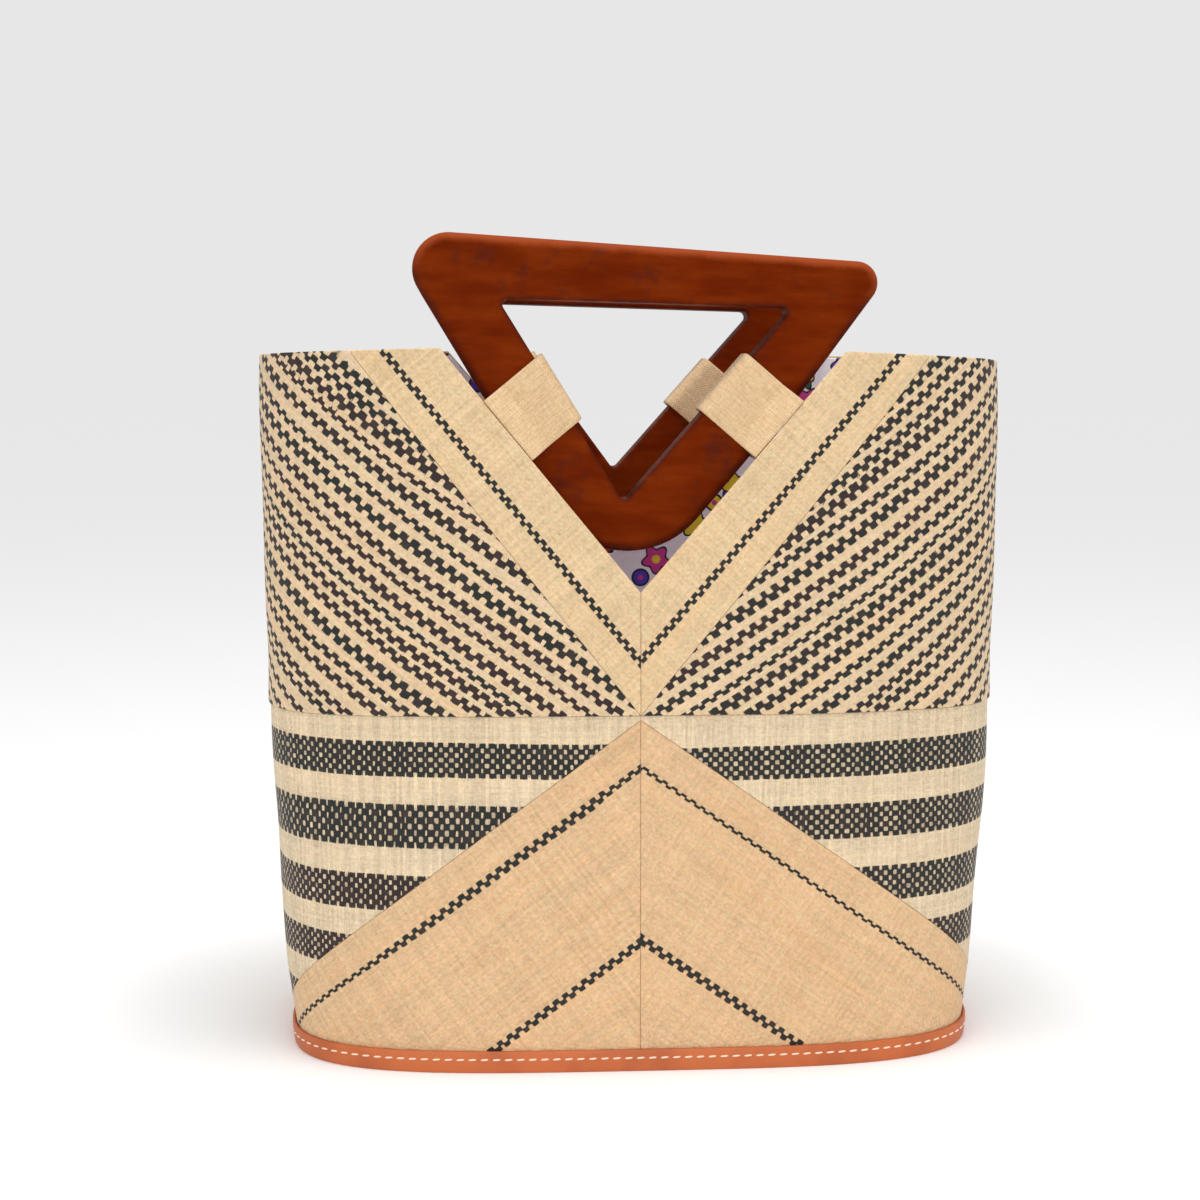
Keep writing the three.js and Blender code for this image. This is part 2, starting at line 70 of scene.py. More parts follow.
# Seams, as heights and as distances round the wall from the middle of a face
seams = {
    "cross": 151.8,
    "stripHeight": 9.2,
    "notchTip": {"front": 203.2, "back": 212},
    "notchHalf": {"front": 84.7, "back": 79.5},
    "notchLean": 2,
    "bandWidth": 38.3,
    "chevronApex": 149.8,
    "chevronReach": {-1: 191, 1: 201},
    "foot": 3.3,
}
planGrid = {"top": 312, "rowStep": 2, "turns": 721, "shares": 400}


# The parabola through a value at the foot, one at half height and one at the rim,
# p (1 - u)(1 - 2u) + q 4u(1 - u) + r u(2u - 1) with u = z / rim height
def throughThree(values, z):
    u = z / body["rimHeight"]
    low, middle, high = values
    return low * (1 - u) * (1 - 2 * u) + middle * 4 * u * (1 - u) + high * u * (2 * u - 1)


# The quarter plan |x / a|^n + |y / b|^n = 1 for rows of heights, spaced evenly along its length
def planTable():
    heights = np.arange(0, planGrid["top"], float(planGrid["rowStep"]))
    turn = np.linspace(0, math.pi / 2, planGrid["turns"])
    shares = np.linspace(0, 1, planGrid["shares"] + 1)
    power = body["squareness"]
    a = throughThree(body["widths"], heights)[:, None] / 2
    b = throughThree(body["depths"], heights)[:, None] / 2
    radius = ((np.sin(turn) / a) ** power + (np.cos(turn) / b) ** power) ** (-1 / power)
    x = radius * np.sin(turn)
    y = radius * np.cos(turn)
    steps = np.hypot(np.diff(x, axis=1), np.diff(y, axis=1))
    along = np.concatenate([np.zeros((len(heights), 1)), np.cumsum(steps, axis=1)], axis=1)
    lengths = along[:, -1]
    xs = [np.interp(shares * total, row, line) for total, row, line in zip(lengths, along, x)]
    ys = [np.interp(shares * total, row, line) for total, row, line in zip(lengths, along, y)]
    return {"x": np.array(xs), "y": np.array(ys), "lengths": lengths, "heights": heights}


plan = planTable()
seamDistance = float(np.interp(seams["cross"], plan["heights"], plan["lengths"]))


# Soft waves of the cloth, a sum of three sines that fades out at the foot and the side seams and
# falls to 0.45 beside the notch, and a lean of the sides that grows with the square of the distance
def ripple(face, around, z):
    shift = 0.0 if face == "front" else 2.1
    waves = np.sin(around / 17 + z / 41 + shift) + np.sin(around / 31 - z / 23 + 1 + shift)
    waves = waves + 0.6 * np.sin(around / 11 + z / 13 + 2 + shift)
    free = np.maximum(np.clip((np.abs(around) - 95) / 45, 0, 1), np.clip((190 - z) / 50, 0, 1))
    fade = np.clip((z - 10) / 60, 0, 1) * np.clip((seamDistance - np.abs(around)) / 30, 0, 1)
    sideways = np.clip((np.abs(around) - 110) / 90, 0, 1) ** 2
    lean = np.interp(z, body["leanHeights"], body["lean"]) * sideways
    return body["rippleHeight"] / 2 * (0.45 + 0.55 * free) * waves * fade + lean


# Points of the wall at signed distances round a face, at heights, standing off by out
def wallPoint(face, around, z, out):
    around, z, out = np.broadcast_arrays(around, z, out)
    share = np.clip(np.abs(around) / seamDistance, 0, 1) * planGrid["shares"]
    row = np.clip(z / planGrid["rowStep"], 0, len(plan["heights"]) - 1.001)
    i = row.astype(int)
    j = np.clip(share.astype(int), 0, planGrid["shares"] - 1)
    p = row - i
    q = share - j
    blend = {}
    for key in ("x", "y"):
        table = plan[key]
        low = table[i, j] * (1 - q) + table[i, j + 1] * q
        high = table[i + 1, j] * (1 - q) + table[i + 1, j + 1] * q
        blend[key] = low * (1 - p) + high * p
    a = throughThree(body["widths"], z) / 2
    b = throughThree(body["depths"], z) / 2
    slopeX = (blend["x"] / a) ** (body["squareness"] - 1) / a
    slopeY = (np.maximum(blend["y"], 0) / b) ** (body["squareness"] - 1) / b
    steep = np.hypot(slopeX, slopeY)
    stand = out + ripple(face, around, z)
    x = np.sign(around) * (blend["x"] + stand * slopeX / steep)
    y = -(blend["y"] + stand * slopeY / steep)
    turn = 1 if face == "front" else -1
    return np.stack([turn * x, turn * y, z], axis=-1)


# Heights of the seams at signed distances round a face
def rimAt(face, around):
    half = seams["notchHalf"][face]
    share = np.clip((np.abs(around) - half) / (seamDistance - half), 0, 1)
    onLeft = (np.asarray(around) < 0) == (face == "front")
    drop = np.where(onLeft, body["rimSideDrop"]["left"], body["rimSideDrop"]["right"])
    sag = np.where(onLeft, body["rimSag"]["left"], body["rimSag"]["right"])
    return body["rimHeight"] - sag - drop * share


def notchCorner(face, side):
    return seams["notchHalf"][face] + side * seams["notchLean"]


def cornerAt(face, around):
    return np.where(np.asarray(around) < 0, notchCorner(face, -1), notchCorner(face, 1))


def notchEdgeAt(face, around):
    tip = seams["notchTip"][face]
    corner = cornerAt(face, around)
    return tip + (body["rimHeight"] - tip) * np.abs(around) / corner


def bandEdgeAt(face, around):
    reach = cornerAt(face, around) + seams["bandWidth"]
    return seams["cross"] + (body["rimHeight"] - seams["cross"]) * np.abs(around) / reach


def chevronEdgeAt(around):
    reach = np.where(np.asarray(around) < 0, seams["chevronReach"][-1], seams["chevronReach"][1])
    fall = seams["chevronApex"] - seams["stripHeight"]
    return seams["chevronApex"] - fall * np.abs(around) / reach


# The distance where a rising function passes zero, by halving
def crossing(rising, low, high):
    for step in range(50):
        middle = (low + high) / 2
        if rising(middle) < 0:
            low = middle
        else:
            high = middle
    return (low + high) / 2


# Faces of a grid of rows by columns whose vertices run row by row, each way open or closed
def gridFaces(rows, columns, closedRows=False, closedColumns=False):
    i = np.arange(rows if closedRows else rows - 1)
    j = np.arange(columns if closedColumns else columns - 1)
    i, j = np.meshgrid(i, j, indexing="ij")
    nextI = (i + 1) % rows
    nextJ = (j + 1) % columns
    corners = [i * columns + j, nextI * columns + j, nextI * columns + nextJ, i * columns + nextJ]
    return np.stack(corners, axis=-1).reshape(-1, 4)


# A part of a piece: vertices, faces and named maps with two numbers a vertex
def gridPart(points, closedRows=False, closedColumns=False, maps=None):
    rows, columns = points.shape[:2]
    faces = gridFaces(rows, columns, closedRows, closedColumns)
    flat = {key: value.reshape(-1, 2) for key, value in (maps or {}).items()}
    return {"points": points.reshape(-1, 3), "faces": faces, "maps": flat}


# Turns a closed part's faces over where its volume, the sum of p . (q x r) / 6, is below zero
def facingOut(part):
    p, q, r, s = (part["points"][part["faces"][:, k]] for k in range(4))
    if (p * (np.cross(q, r) + np.cross(r, s))).sum() < 0:
        part["faces"] = part["faces"][:, ::-1]
    return part


def joinParts(parts):
    starts = np.cumsum([0] + [len(part["points"]) for part in parts[:-1]])
    maps = {key: np.concatenate([part["maps"][key] for part in parts]) for key in parts[0]["maps"]}
    return {
        "points": np.concatenate([part["points"] for part in parts]),
        "faces": np.concatenate([part["faces"] + start for part, start in zip(parts, starts)]),
        "maps": maps,
    }


def linked(name, data):
    obj = bpy.data.objects.new(name, data)
    bpy.context.scene.collection.objects.link(obj)
    return obj


# Makes a smooth mesh object in metres, at the origin
def addPiece(name, part, material, node=None):
    mesh = bpy.data.meshes.new(name)
    points = (part["points"] / 1000).astype(np.float32)
    faces = part["faces"].astype(np.int32)
    mesh.vertices.add(len(points))
    mesh.vertices.foreach_set("co", points.ravel())
    mesh.loops.add(faces.size)
    mesh.loops.foreach_set("vertex_index", faces.ravel())
    mesh.polygons.add(len(faces))
    mesh.polygons.foreach_set("loop_start", np.arange(0, faces.size, 4, dtype=np.int32))
    mesh.polygons.foreach_set("use_smooth", np.ones(len(faces), dtype=bool))
    for key, values in part["maps"].items():
        layer = mesh.uv_layers.new(name=key)
        layer.data.foreach_set("uv", values[faces.ravel()].astype(np.float32).ravel())
    mesh.update()
    mesh.validate()
    mesh.materials.append(material)
    piece = linked(name, mesh)
    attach(piece, "root")
    if node:
        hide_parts(node)


# Numbers in a shader: wraps a socket, so that formulas read as such
class Number:
    def __init__(self, shader, socket):
        self.shader = shader
        self.socket = socket

    def math(self, operation, *others, swapped=False):
        node = self.shader.tree.nodes.new("ShaderNodeMath")
        node.operation = operation
        for place, value in enumerate([*others, self] if swapped else [self, *others]):
            self.shader.feed(node.inputs[place], value)
        return Number(self.shader, node.outputs[0])

    def __add__(self, other):
        return self.math("ADD", other)

    def __radd__(self, other):
        return self.math("ADD", other, swapped=True)

    def __sub__(self, other):
        return self.math("SUBTRACT", other)

    def __rsub__(self, other):
        return self.math("SUBTRACT", other, swapped=True)

    def __mul__(self, other):
        return self.math("MULTIPLY", other)

    def __rmul__(self, other):
        return self.math("MULTIPLY", other, swapped=True)

    def __truediv__(self, other):
        return self.math("DIVIDE", other)

    def __rtruediv__(self, other):
        return self.math("DIVIDE", other, swapped=True)

    def __pow__(self, other):
        return self.math("POWER", other)

    def __neg__(self):
        return self.math("MULTIPLY", -1.0)

    def __abs__(self):
        return self.math("ABSOLUTE")

    def floor(self):
        return self.math("FLOOR")

    def fraction(self):
        return self.math("FRACT")

    def least(self, other):
        return self.math("MINIMUM", other)

    def most(self, other):
        return self.math("MAXIMUM", other)

    def above(self, other):
        return self.math("GREATER_THAN", other)

    # 0 below low and 1 above high, or the other way round if low is the higher, with soft ends
    def ramp(self, low, high):
        first, last = (low, high) if low < high else (high, low)
        node = self.shader.node(
            "ShaderNodeMapRange",
            {"interpolation_type": "SMOOTHSTEP"},
            {"Value": self, "From Min": first, "From Max": last},
        )
        rising = Number(self.shader, node.outputs["Result"])
        return rising if low < high else 1 - rising


# One material: makes nodes, links them and sets constants on the shader's own sockets
class Shader:
    def __init__(self, name, roughness=0.8, color=(0.5, 0.5, 0.5), sheen=0.0):
        self.material = bpy.data.materials.new(name)
        self.material.use_nodes = True
        self.tree = self.material.node_tree
        self.surface = next(n for n in self.tree.nodes if n.type == "BSDF_PRINCIPLED")
        self.surface.inputs["Roughness"].default_value = roughness
        self.surface.inputs["Sheen Weight"].default_value = sheen
        self.surface.inputs["Base Color"].default_value = (*color, 1)

    def node(self, kind, settings=None, inputs=None):
        node = self.tree.nodes.new(kind)
        for key, value in (settings or {}).items():
            setattr(node, key, value)
        for key, value in (inputs or {}).items():
            self.feed(node.inputs[key], value)
        return node

    def feed(self, socket, value):
        if isinstance(value, Number):
            self.tree.links.new(value.socket, socket)
        elif isinstance(value, bpy.types.NodeSocket):
            self.tree.links.new(value, socket)
        else:
            socket.default_value = value

    # The two numbers of a map on the piece
    def pair(self, name):
        place = self.node("ShaderNodeUVMap", {"uv_map": name}).outputs["UV"]
        split = self.node("ShaderNodeSeparateXYZ", {}, {"Vector": place})
        return Number(self, split.outputs["X"]), Number(self, split.outputs["Y"])

    def objectPlace(self):
        return self.node("ShaderNodeTexCoord").outputs["Object"]

    def vector(self, x, y, z=0.0):
        return self.node("ShaderNodeCombineXYZ", {}, {"X": x, "Y": y, "Z": z}).outputs["Vector"]

    def noise(self, place, scale, detail=2.0, roughness=0.5):
        settings = {"noise_dimensions": "3D"}
        inputs = {"Vector": place, "Scale": scale, "Detail": detail, "Roughness": roughness}
        return Number(self, self.node("ShaderNodeTexNoise", settings, inputs).outputs["Fac"])

    # Noise over numbers that are already scaled
    def cloud(self, x, y, z, detail, roughness=0.5):
        return self.noise(self.vector(x, y, z), 1.0, detail, roughness)

    # A steady random number for each whole pair
    def chance(self, x, y):
        settings = {"noise_dimensions": "3D"}
        node = self.node("ShaderNodeTexWhiteNoise", settings, {"Vector": self.vector(x, y)})
        return Number(self, node.outputs["Value"])

    def mix(self, share, first, second):
        node = self.node("ShaderNodeMix", {"data_type": "RGBA", "clamp_factor": True})
        self.feed(node.inputs[0], share)
        for socket, value in ((node.inputs[6], first), (node.inputs[7], second)):
            self.feed(socket, (*value, 1) if isinstance(value, tuple) else value)
        return node.outputs[2]

    # A colour made lighter or darker by a number
    def shade(self, color, amount):
        node = self.node("ShaderNodeVectorMath", {"operation": "SCALE"}, {"Scale": amount})
        self.feed(node.inputs[0], color)
        return node.outputs["Vector"]

    def bump(self, height, distance, strength):
        inputs = {"Height": height, "Distance": distance, "Strength": strength}
        node = self.node("ShaderNodeBump", {}, inputs)
        self.tree.links.new(node.outputs["Normal"], self.surface.inputs["Normal"])

    def paint(self, color):
        self.feed(self.surface.inputs["Base Color"], color)


# sRGB from 0 to 255 to the linear values that shaders take
def tone(red, green, blue):
    def linear(value):
        share = value / 255
        return share / 12.92 if share <= 0.04045 else ((share + 0.055) / 1.055) ** 2.4
    return (linear(red), linear(green), linear(blue))


# Black wefts. A striped panel's stripes are rows of heights at 60, 100 and 140 mm from the face's
# middle with a weight, and the banded panels' bands rows of top and bottom heights. Lines are rows
# of distances from the panel's edge with half heights.
stripes = {
    -1: [
        (250, 279.5, 308, 1.05), (243, 271, 302, 0.95), (236, 264, 294, 1.35), (228, 254.5, 287, 0.7),
        (218.5, 246.5, 278, 1.1), (207.5, 237, 267, 0.8), (198.5, 227, 258.5, 1.2), (189, 216, 248.5, 1.0),
        (180, 208, 239.5, 0.75), (170.5, 199, 230, 1.1), (162, 190.5, 221.5, 0.7), (156, 182.5, 214.5, 1.0),
        (148, 175.5, 206, 0.95), (137, 164, 195.5, 1.25), (128, 155, 184.5, 0.85), (118, 146, 176.5, 0.9),
        (108, 135, 165.5, 0.85), (101, 128.5, 159, 0.8), (92, 119, 149, 0.8), (82, 109, 139, 0.8),
        (72, 99, 129, 1.1), (62, 89, 119, 0.8), (52, 79, 109, 0.9), (42, 69, 99, 1.0),
    ],
    1: [
        (246, 277, 310, 1.1), (240, 269, 301, 1.0), (231.5, 260.5, 292, 0.95), (223, 253, 283, 1.35),
        (215.5, 242.5, 272, 0.85), (206, 234, 263.5, 1.2), (196, 222.5, 253, 1.05), (187, 213.5, 243, 0.95),
        (178, 204.5, 235, 0.65), (170.5, 197, 227, 1.15), (161, 188, 217, 1.1), (152, 178, 208, 0.8),
        (143, 169, 199, 1.0), (133, 158.5, 189.5, 0.9), (126, 152, 180.5, 1.0), (117, 143.5, 171, 0.8),
        (108, 134, 161, 0.95), (98, 125, 151.5, 0.8), (88, 115, 142, 0.9), (78, 105, 132, 1.0),
        (68, 95, 122, 0.8), (58, 85, 112, 0.9), (48, 75, 102, 1.0),
    ],
}
weave = {
    "stripeHalf": 2.4,
    "innerSlope": {-1: 0.71, 1: 0.64},
    "outerSlope": 0.79,
    "stripePitch": {-1: 3.03, 1: 2.85},
    "bandPitch": 2.17,
    "linePitch": {"band": 2.25, "chevron": 2.45},
    "weft": 1.25,
    "stripeSlope": 0.735,
    "bandRise": 1.5,
    "bandLine": {"depth": 18.5, "half": 1.75, "scale": 60},
}
chevronLines = {
    "depth": 16.2,
    "apart": 60.1,
    "upper": {-1: ((0, 14, 18, 95, 120), (1.5, 1.6, 2.4, 2.15, 1.2)), 1: ((0, 20, 200), (1.25, 1.05, 1.1))},
    "lower": {-1: 2.05, 1: 2.2},
}
bands = {
    -1: [(140.5, 125.5), (114, 95.5), (83.8, 68.5), (57, 43), (31, 16)],
    1: [(138.5, 124), (112.5, 97.5), (85, 69.5), (59, 44), (32, 17)],
}


# Raffia cloth: light wefts in rows with fine fibres, tied by warps, and black wefts where the
# stripes are. A stripe has rows of black cells set like bricks, and each light cell between two of
# them is a round-cornered square |x / w|^4 + |y / h|^4 < 1 that is open to the outside.
raffiaLooks = {
    "striped": {
        "name": "stripedRaffia", "slot": "striped_raffia",
        "rows": 2, "wide": 0.40, "high": 0.36, "vary": 0.5, "jitter": 0.8, "tone": tone(220, 194, 158),
        "fleck": 0.6, "warm": 0.5, "cross": 0.5, "tint": 0.4, "grey": 0,
    },
    "sides": {
        "name": "bandedRaffia", "slot": "banded_raffia",
        "rows": 7, "wide": 0.29, "high": 0.43, "vary": 0.9, "jitter": 1.0, "tone": tone(220, 200, 168),
        "fleck": 0.4, "warm": 0.25, "cross": 1.7, "tint": 0.1, "grey": 1,
    },
    "band": {
        "name": "bandRaffia", "slot": "raffia",
        "rows": 2, "wide": 0.38, "high": 0.40, "vary": 0.5, "jitter": 0.7, "tone": tone(220, 192, 151),
        "fleck": 0.45, "warm": 0.5, "cross": 1.2, "tint": 0.25, "grey": 0,
    },
    "chevron": {
        "name": "chevronRaffia", "slot": "raffia",
        "rows": 2, "wide": 0.40, "high": 0.40, "vary": 0.3, "jitter": 0.5, "tone": tone(218, 182, 140),
        "fleck": 0.6, "warm": 0.55, "cross": 1.0, "tint": 0.2, "grey": 0,
    },
}


def raffiaShader(look):
    shader = Shader(look["name"], 0.85, sheen=0.1)
    warp, number = shader.pair("weave")
    reach, patch = shader.pair("reach")
    along, across = shader.pair("cloth")
    place = shader.vector(along, across, patch)
    wave = shader.noise(place, 0.22, 1.0) - 0.5
    stripe = (number + 0.5).floor()
    offset = (number + 0.5).fraction() - 0.5
    offset = offset / reach + wave * 0.55 / look["rows"]
    height = (offset + 1) * (look["rows"] / 2)
    held = height.most(0.5).least(look["rows"] - 0.5)
    row = held.floor()
    up = held - row - 0.5
    wander = shader.cloud(along * 0.4, across * 0.08, patch, 1.0) - 0.5
    moved = warp + wander * look["jitter"]
    column = moved.floor()
    over = moved - column - 0.5
    odd = ((column + row) * 0.5).fraction().above(0.25)
    girth = (1 + (shader.chance(column, patch + 9) - 0.5) * look["vary"]) * look["wide"]
    square = (abs(over) / girth) ** 4 + (abs(up) / look["high"]) ** 4
    light = square.ramp(1.5, 0.6) * odd
    rim = abs(offset) + (1 - odd) * (abs(over) * 2) ** 6 * (0.4 / look["rows"])
    black = rim.ramp(1 + 0.12 / look["rows"], 1 - 0.16 / look["rows"]) * (1 - light)

    weft = (across / weave["weft"] + wave * 0.3).floor()
    weftTone = shader.chance(weft, patch)
    warpTone = shader.chance((along / weave["weft"] + wave * 0.3).floor(), patch + 5)
    fibre = shader.cloud(along * 0.16, across * 1.5, patch, 3.0, 0.6)
    cross = shader.cloud(along * 1.5, across * 0.10, patch, 2.0, 0.6)
    grain = shader.noise(place, 0.62, 3.0, 0.75)
    stain = shader.cloud(along * 0.014, across * 0.07, patch, 4.0, 0.65)
    shadeNoise = shader.cloud(along * 0.03, across * 0.16, patch + 3, 3.0, 0.6)
    base = look["tone"]
    dark = tuple(value * share for value, share in zip(base, (0.78, 0.70, 0.58)))
    warmTone = tuple(value * share for value, share in zip(base, (1.0, 0.86, 0.72)))
    color = shader.mix(fibre.ramp(0.60, 0.38) * 0.35, base, dark)
    color = shader.mix(weftTone.ramp(0.6, 1.0) * look["warm"] * 0.7, color, warmTone)
    color = shader.mix(stain.ramp(0.48, 0.72) * look["warm"], color, warmTone)
    amount = 1.0 + (weftTone - 0.5) * 0.10 + (grain - 0.5) * 0.75
    amount = amount + ((cross - 0.5) * 0.30 + (warpTone - 0.5) * 0.12) * look["cross"]
    color = shader.shade(color, amount + (shadeNoise - 0.5) * 0.28)
    color = shader.mix(fibre.ramp(0.62, 0.80) * 0.45, color, tone(240, 219, 184))
    fleckNoise = shader.cloud(along * 0.30, across * 0.9, patch, 2.0)
    color = shader.mix(fleckNoise.ramp(0.68, 0.78) * look["fleck"], color, tone(158, 108, 70))

    patches = shader.cloud(along * 0.20, across * 0.34, patch + 11, 2.0)
    color = shader.mix(patches.ramp(0.54, 0.68) * look["tint"], color, tone(240, 203, 176))
    color = shader.mix(patches.ramp(0.46, 0.32) * look["tint"], color, tone(222, 214, 166))
    if look["grey"]:
        inside = rim.ramp(1.0, 0.8) * light
        drab = 0.08 + shader.chance(column + 3, row + patch) * 0.32
        color = shader.shade(color, 1 - inside * drab)
    seed = shader.chance(column * 0.37 + stripe * 3.1, row + patch)
    cast = shader.chance(stripe, patch + 2)
    ink = shader.mix(cast.ramp(0.45, 0.60), tone(27, 30, 26), tone(44, 27, 26))
    ink = shader.mix(seed.ramp(0.5, 1.0) * 0.6, ink, tone(60, 46, 42))
    ink = shader.mix(fibre.ramp(0.52, 0.8) * 0.3, ink, tone(86, 72, 62))
    shader.paint(shader.mix(black, color, ink))

    rows = (across * (math.pi / weave["weft"])).math("COSINE")
    columns = (along * (math.pi / weave["weft"])).math("COSINE")
    relief = rows * columns * 0.6 + grain * 1.2 + fibre * 0.5 + black * 0.5
    shader.bump(relief, 0.00022, 0.8)
    return shader


raffia = {kind: raffiaShader(look) for kind, look in raffiaLooks.items()}


# Loop cloth: a fine plain weave, cos(across) cos(along), with slubs both ways
def loopShader():
    shader = Shader("loopRaffia", 0.85, sheen=0.1)
    across, along = shader.pair("cloth")
    fibre = shader.cloud(across * 1.3, along * 0.12, 0.0, 3.0, 0.6)
    slub = shader.cloud(across * 0.12, along * 1.3, 3.0, 3.0, 0.6)
    grain = shader.noise(shader.vector(across, along, 6.0), 0.8, 3.0, 0.7)
    color = shader.mix(fibre.ramp(0.60, 0.38) * 0.45, tone(220, 187, 144), tone(190, 151, 106))
    color = shader.mix(slub.ramp(0.50, 0.70) * 0.45, color, tone(230, 204, 163))
    color = shader.shade(color, 1 + (grain - 0.5) * 0.5 + (slub - 0.5) * 0.15)
    shader.paint(color)
    knots = (across * 4.6).math("COSINE") * (along * 4.6).math("COSINE")
    shader.bump(knots * 0.5 + fibre + slub + grain, 0.0002, 0.6)
    return shader


loopCloth = loopShader()

# Lining print: flowers, leaves and rings with dark outlines on a pale ground, in bright colours
printLook = {"cell": 19.0, "outline": 0.9}


# One layer of motifs, a motif to a cell. Its place and turn differ from cell to cell. Its edge is
# r = size (1 + depth cos(petals angle)), with a dark line along it.
def motifLayer(shader, x, y, color, seed, petals, size, depth, palette, stretch=1.0, share=1.0):
    cell = printLook["cell"]
    u = x / cell + seed * 0.37
    w = y / cell + seed * 0.61
    column = u.floor()
    row = w.floor()
    first = shader.chance(column + seed, row)
    second = shader.chance(column, row + seed + 40)
    third = shader.chance(column + 17, row + seed)
    dx = (u - column - 0.5 + (first - 0.5) * 0.3) * cell
    dy = (w - row - 0.5 + (second - 0.5) * 0.3) * cell
    turn = third * 6.283
    cosine = turn.math("COSINE")
    sine = turn.math("SINE")
    px = dx * cosine + dy * sine
    py = (dy * cosine - dx * sine) * stretch
    distance = (px * px + py * py).math("SQRT")
    angle = py.math("ARCTAN2", px)
    edge = size * (1 + depth * (angle * petals).math("COSINE"))
    beyond = distance - edge
    shown = third.ramp(share, share - 0.01) if share < 1 else 1.0
    fill = palette[0]
    for step, tint in enumerate(palette[1:]):
        fill = shader.mix(second.above((step + 1) / len(palette)), fill, tint)
    heart = distance.ramp(size * 0.42, size * 0.34)
    fill = shader.mix(heart, fill, palette[-1] if petals else palette[0])
    outline = beyond.ramp(printLook["outline"] + 0.25, printLook["outline"])
    color = shader.mix(outline * shown, color, tone(38, 30, 44))
    return shader.mix(beyond.ramp(0.15, -0.1) * shown, color, fill)


def liningShader():
    shader = Shader("liningPrint", 0.75)
    x, y = shader.pair("cloth")
    ground = tone(252, 248, 255)
    magenta, red, yellow = tone(214, 62, 150), tone(222, 40, 36), tone(246, 214, 50)
    violet, green = tone(84, 62, 190), tone(38, 96, 66)
    color = motifLayer(shader, x, y, ground, 7.0, 2.0, 3.6, 0.35, [green, violet, green], 1.7, 0.5)
    color = motifLayer(shader, x, y, color, 12.0, 0.0, 3.4, 0.0, [magenta, violet, yellow, red], 1.0, 0.5)
    color = motifLayer(shader, x, y, color, 21.0, 5.0, 5.4, 0.22, [red, magenta, violet, yellow], 1.0, 0.5)
    shader.paint(color)
    thread = (x * 5.2).math("SINE") * (y * 5.2).math("SINE")
    shader.bump(thread, 0.00005, 0.6)
    return shader


liningCloth = liningShader()


# Wood: soft mottled grain, dark blotches, a painted highlight on the outer edge of the top bar, painted
# shade on the other outer edges, and darker edges round the hole. The edges map holds the distances
# from the outer outline and from the hole.
def woodShader():
    shader = Shader("redWood", 0.42)
    shader.surface.inputs["IOR"].default_value = 1.07
    x, y = shader.pair("board")
    fromOuter, fromHole = shader.pair("edges")
    grain = shader.cloud(x * 0.03, y * 0.12, 0.0, 4.0, 0.6)
    streak = shader.cloud(x * 0.10, y * 0.8, 0.0, 2.0, 0.6)
    blotch = shader.noise(shader.vector(x, y, 4.0), 0.042, 4.0, 0.6)
    wobble = shader.noise(shader.vector(x, y, 9.0), 0.11, 3.0, 0.6)
    color = shader.mix(grain.ramp(0.3, 0.7), tone(97, 27, 1), tone(118, 42, 4))
    color = shader.mix(streak.ramp(0.5, 0.75) * 0.16, color, tone(92, 26, 6))
    color = shader.mix(blotch.ramp(0.56, 0.70) * 0.6, color, tone(70, 28, 22))
    # Masks for painted light: high marks the top bar, taken as lit from above, and rim the board's outer
    # edge
    high = y.ramp(138, 156)
    rim = (fromOuter + wobble * 3).ramp(6.2, 2.4)
    # Painted highlight: the outer edge of the top bar made lighter, as if lit from above
    color = shader.mix(rim * high * 0.7, color, tone(158, 72, 36))
    # Painted shade: the outer edges below the top bar made darker in noisy patches, as if turned away from
    # the light
    color = shader.mix(rim * (1 - high) * wobble.ramp(0.3, 0.6) * 0.7, color, tone(66, 26, 20))
    heart = (fromHole + wobble * 3).ramp(4.2, 1.6)
    color = shader.mix(heart * wobble.ramp(0.35, 0.6) * 0.65, color, tone(66, 26, 20))
    shader.paint(color)
    shader.feed(shader.surface.inputs["Roughness"], 0.42 + streak * 0.15)
    shader.bump(streak + grain, 0.0001, 0.3)
    return shader


woodFinish = woodShader()


def leatherShader():
    shader = Shader("tanLeather", 0.5)
    place = shader.objectPlace()
    pores = shader.noise(place, 1400.0, 2.0)
    clouds = shader.noise(place, 45.0, 3.0)
    color = shader.mix(clouds.ramp(0.4, 0.7), tone(196, 101, 47), tone(180, 89, 40))
    shader.paint(color)
    shader.bump(pores, 0.0001, 0.5)
    return shader


leatherFinish = leatherShader()
threadFinish = Shader("thread", 0.6, color=tone(240, 215, 190))
print("materials made")


# Panels: a closed sheet between two height lines. A column of it is a flat loop: up the outer skin,
# round the top fold, down the inner skin and round the bottom fold. At the two ends the loop thins
# to nothing as sqrt(r^2 - (r - d)^2), so that the ends are round too.
panelGrid = {"step": 1.7, "rows": 84, "innerRows": 5, "foldSteps": 4}


def columnStations(start, end, radius, kinks=()):
    fold = np.linspace(0, math.pi / 2, panelGrid["foldSteps"] + 1)
    near = start + radius * (1 - np.cos(fold))
    far = end - radius * (1 - np.cos(fold[::-1]))
    marks = [near[-1], *sorted(k for k in kinks if near[-1] < k < far[0]), far[0]]
    inner = []
    for low, high in zip(marks[:-1], marks[1:]):
        count = max(2, int(math.ceil((high - low) / panelGrid["step"])))
        inner.append(np.linspace(low, high, count + 1)[:-1])
    stations = np.concatenate([near[:-1], *inner, far])
    taper = np.concatenate([np.sin(fold[:-1]), np.ones(sum(len(k) for k in inner)), np.sin(fold[::-1])])
    return stations, taper


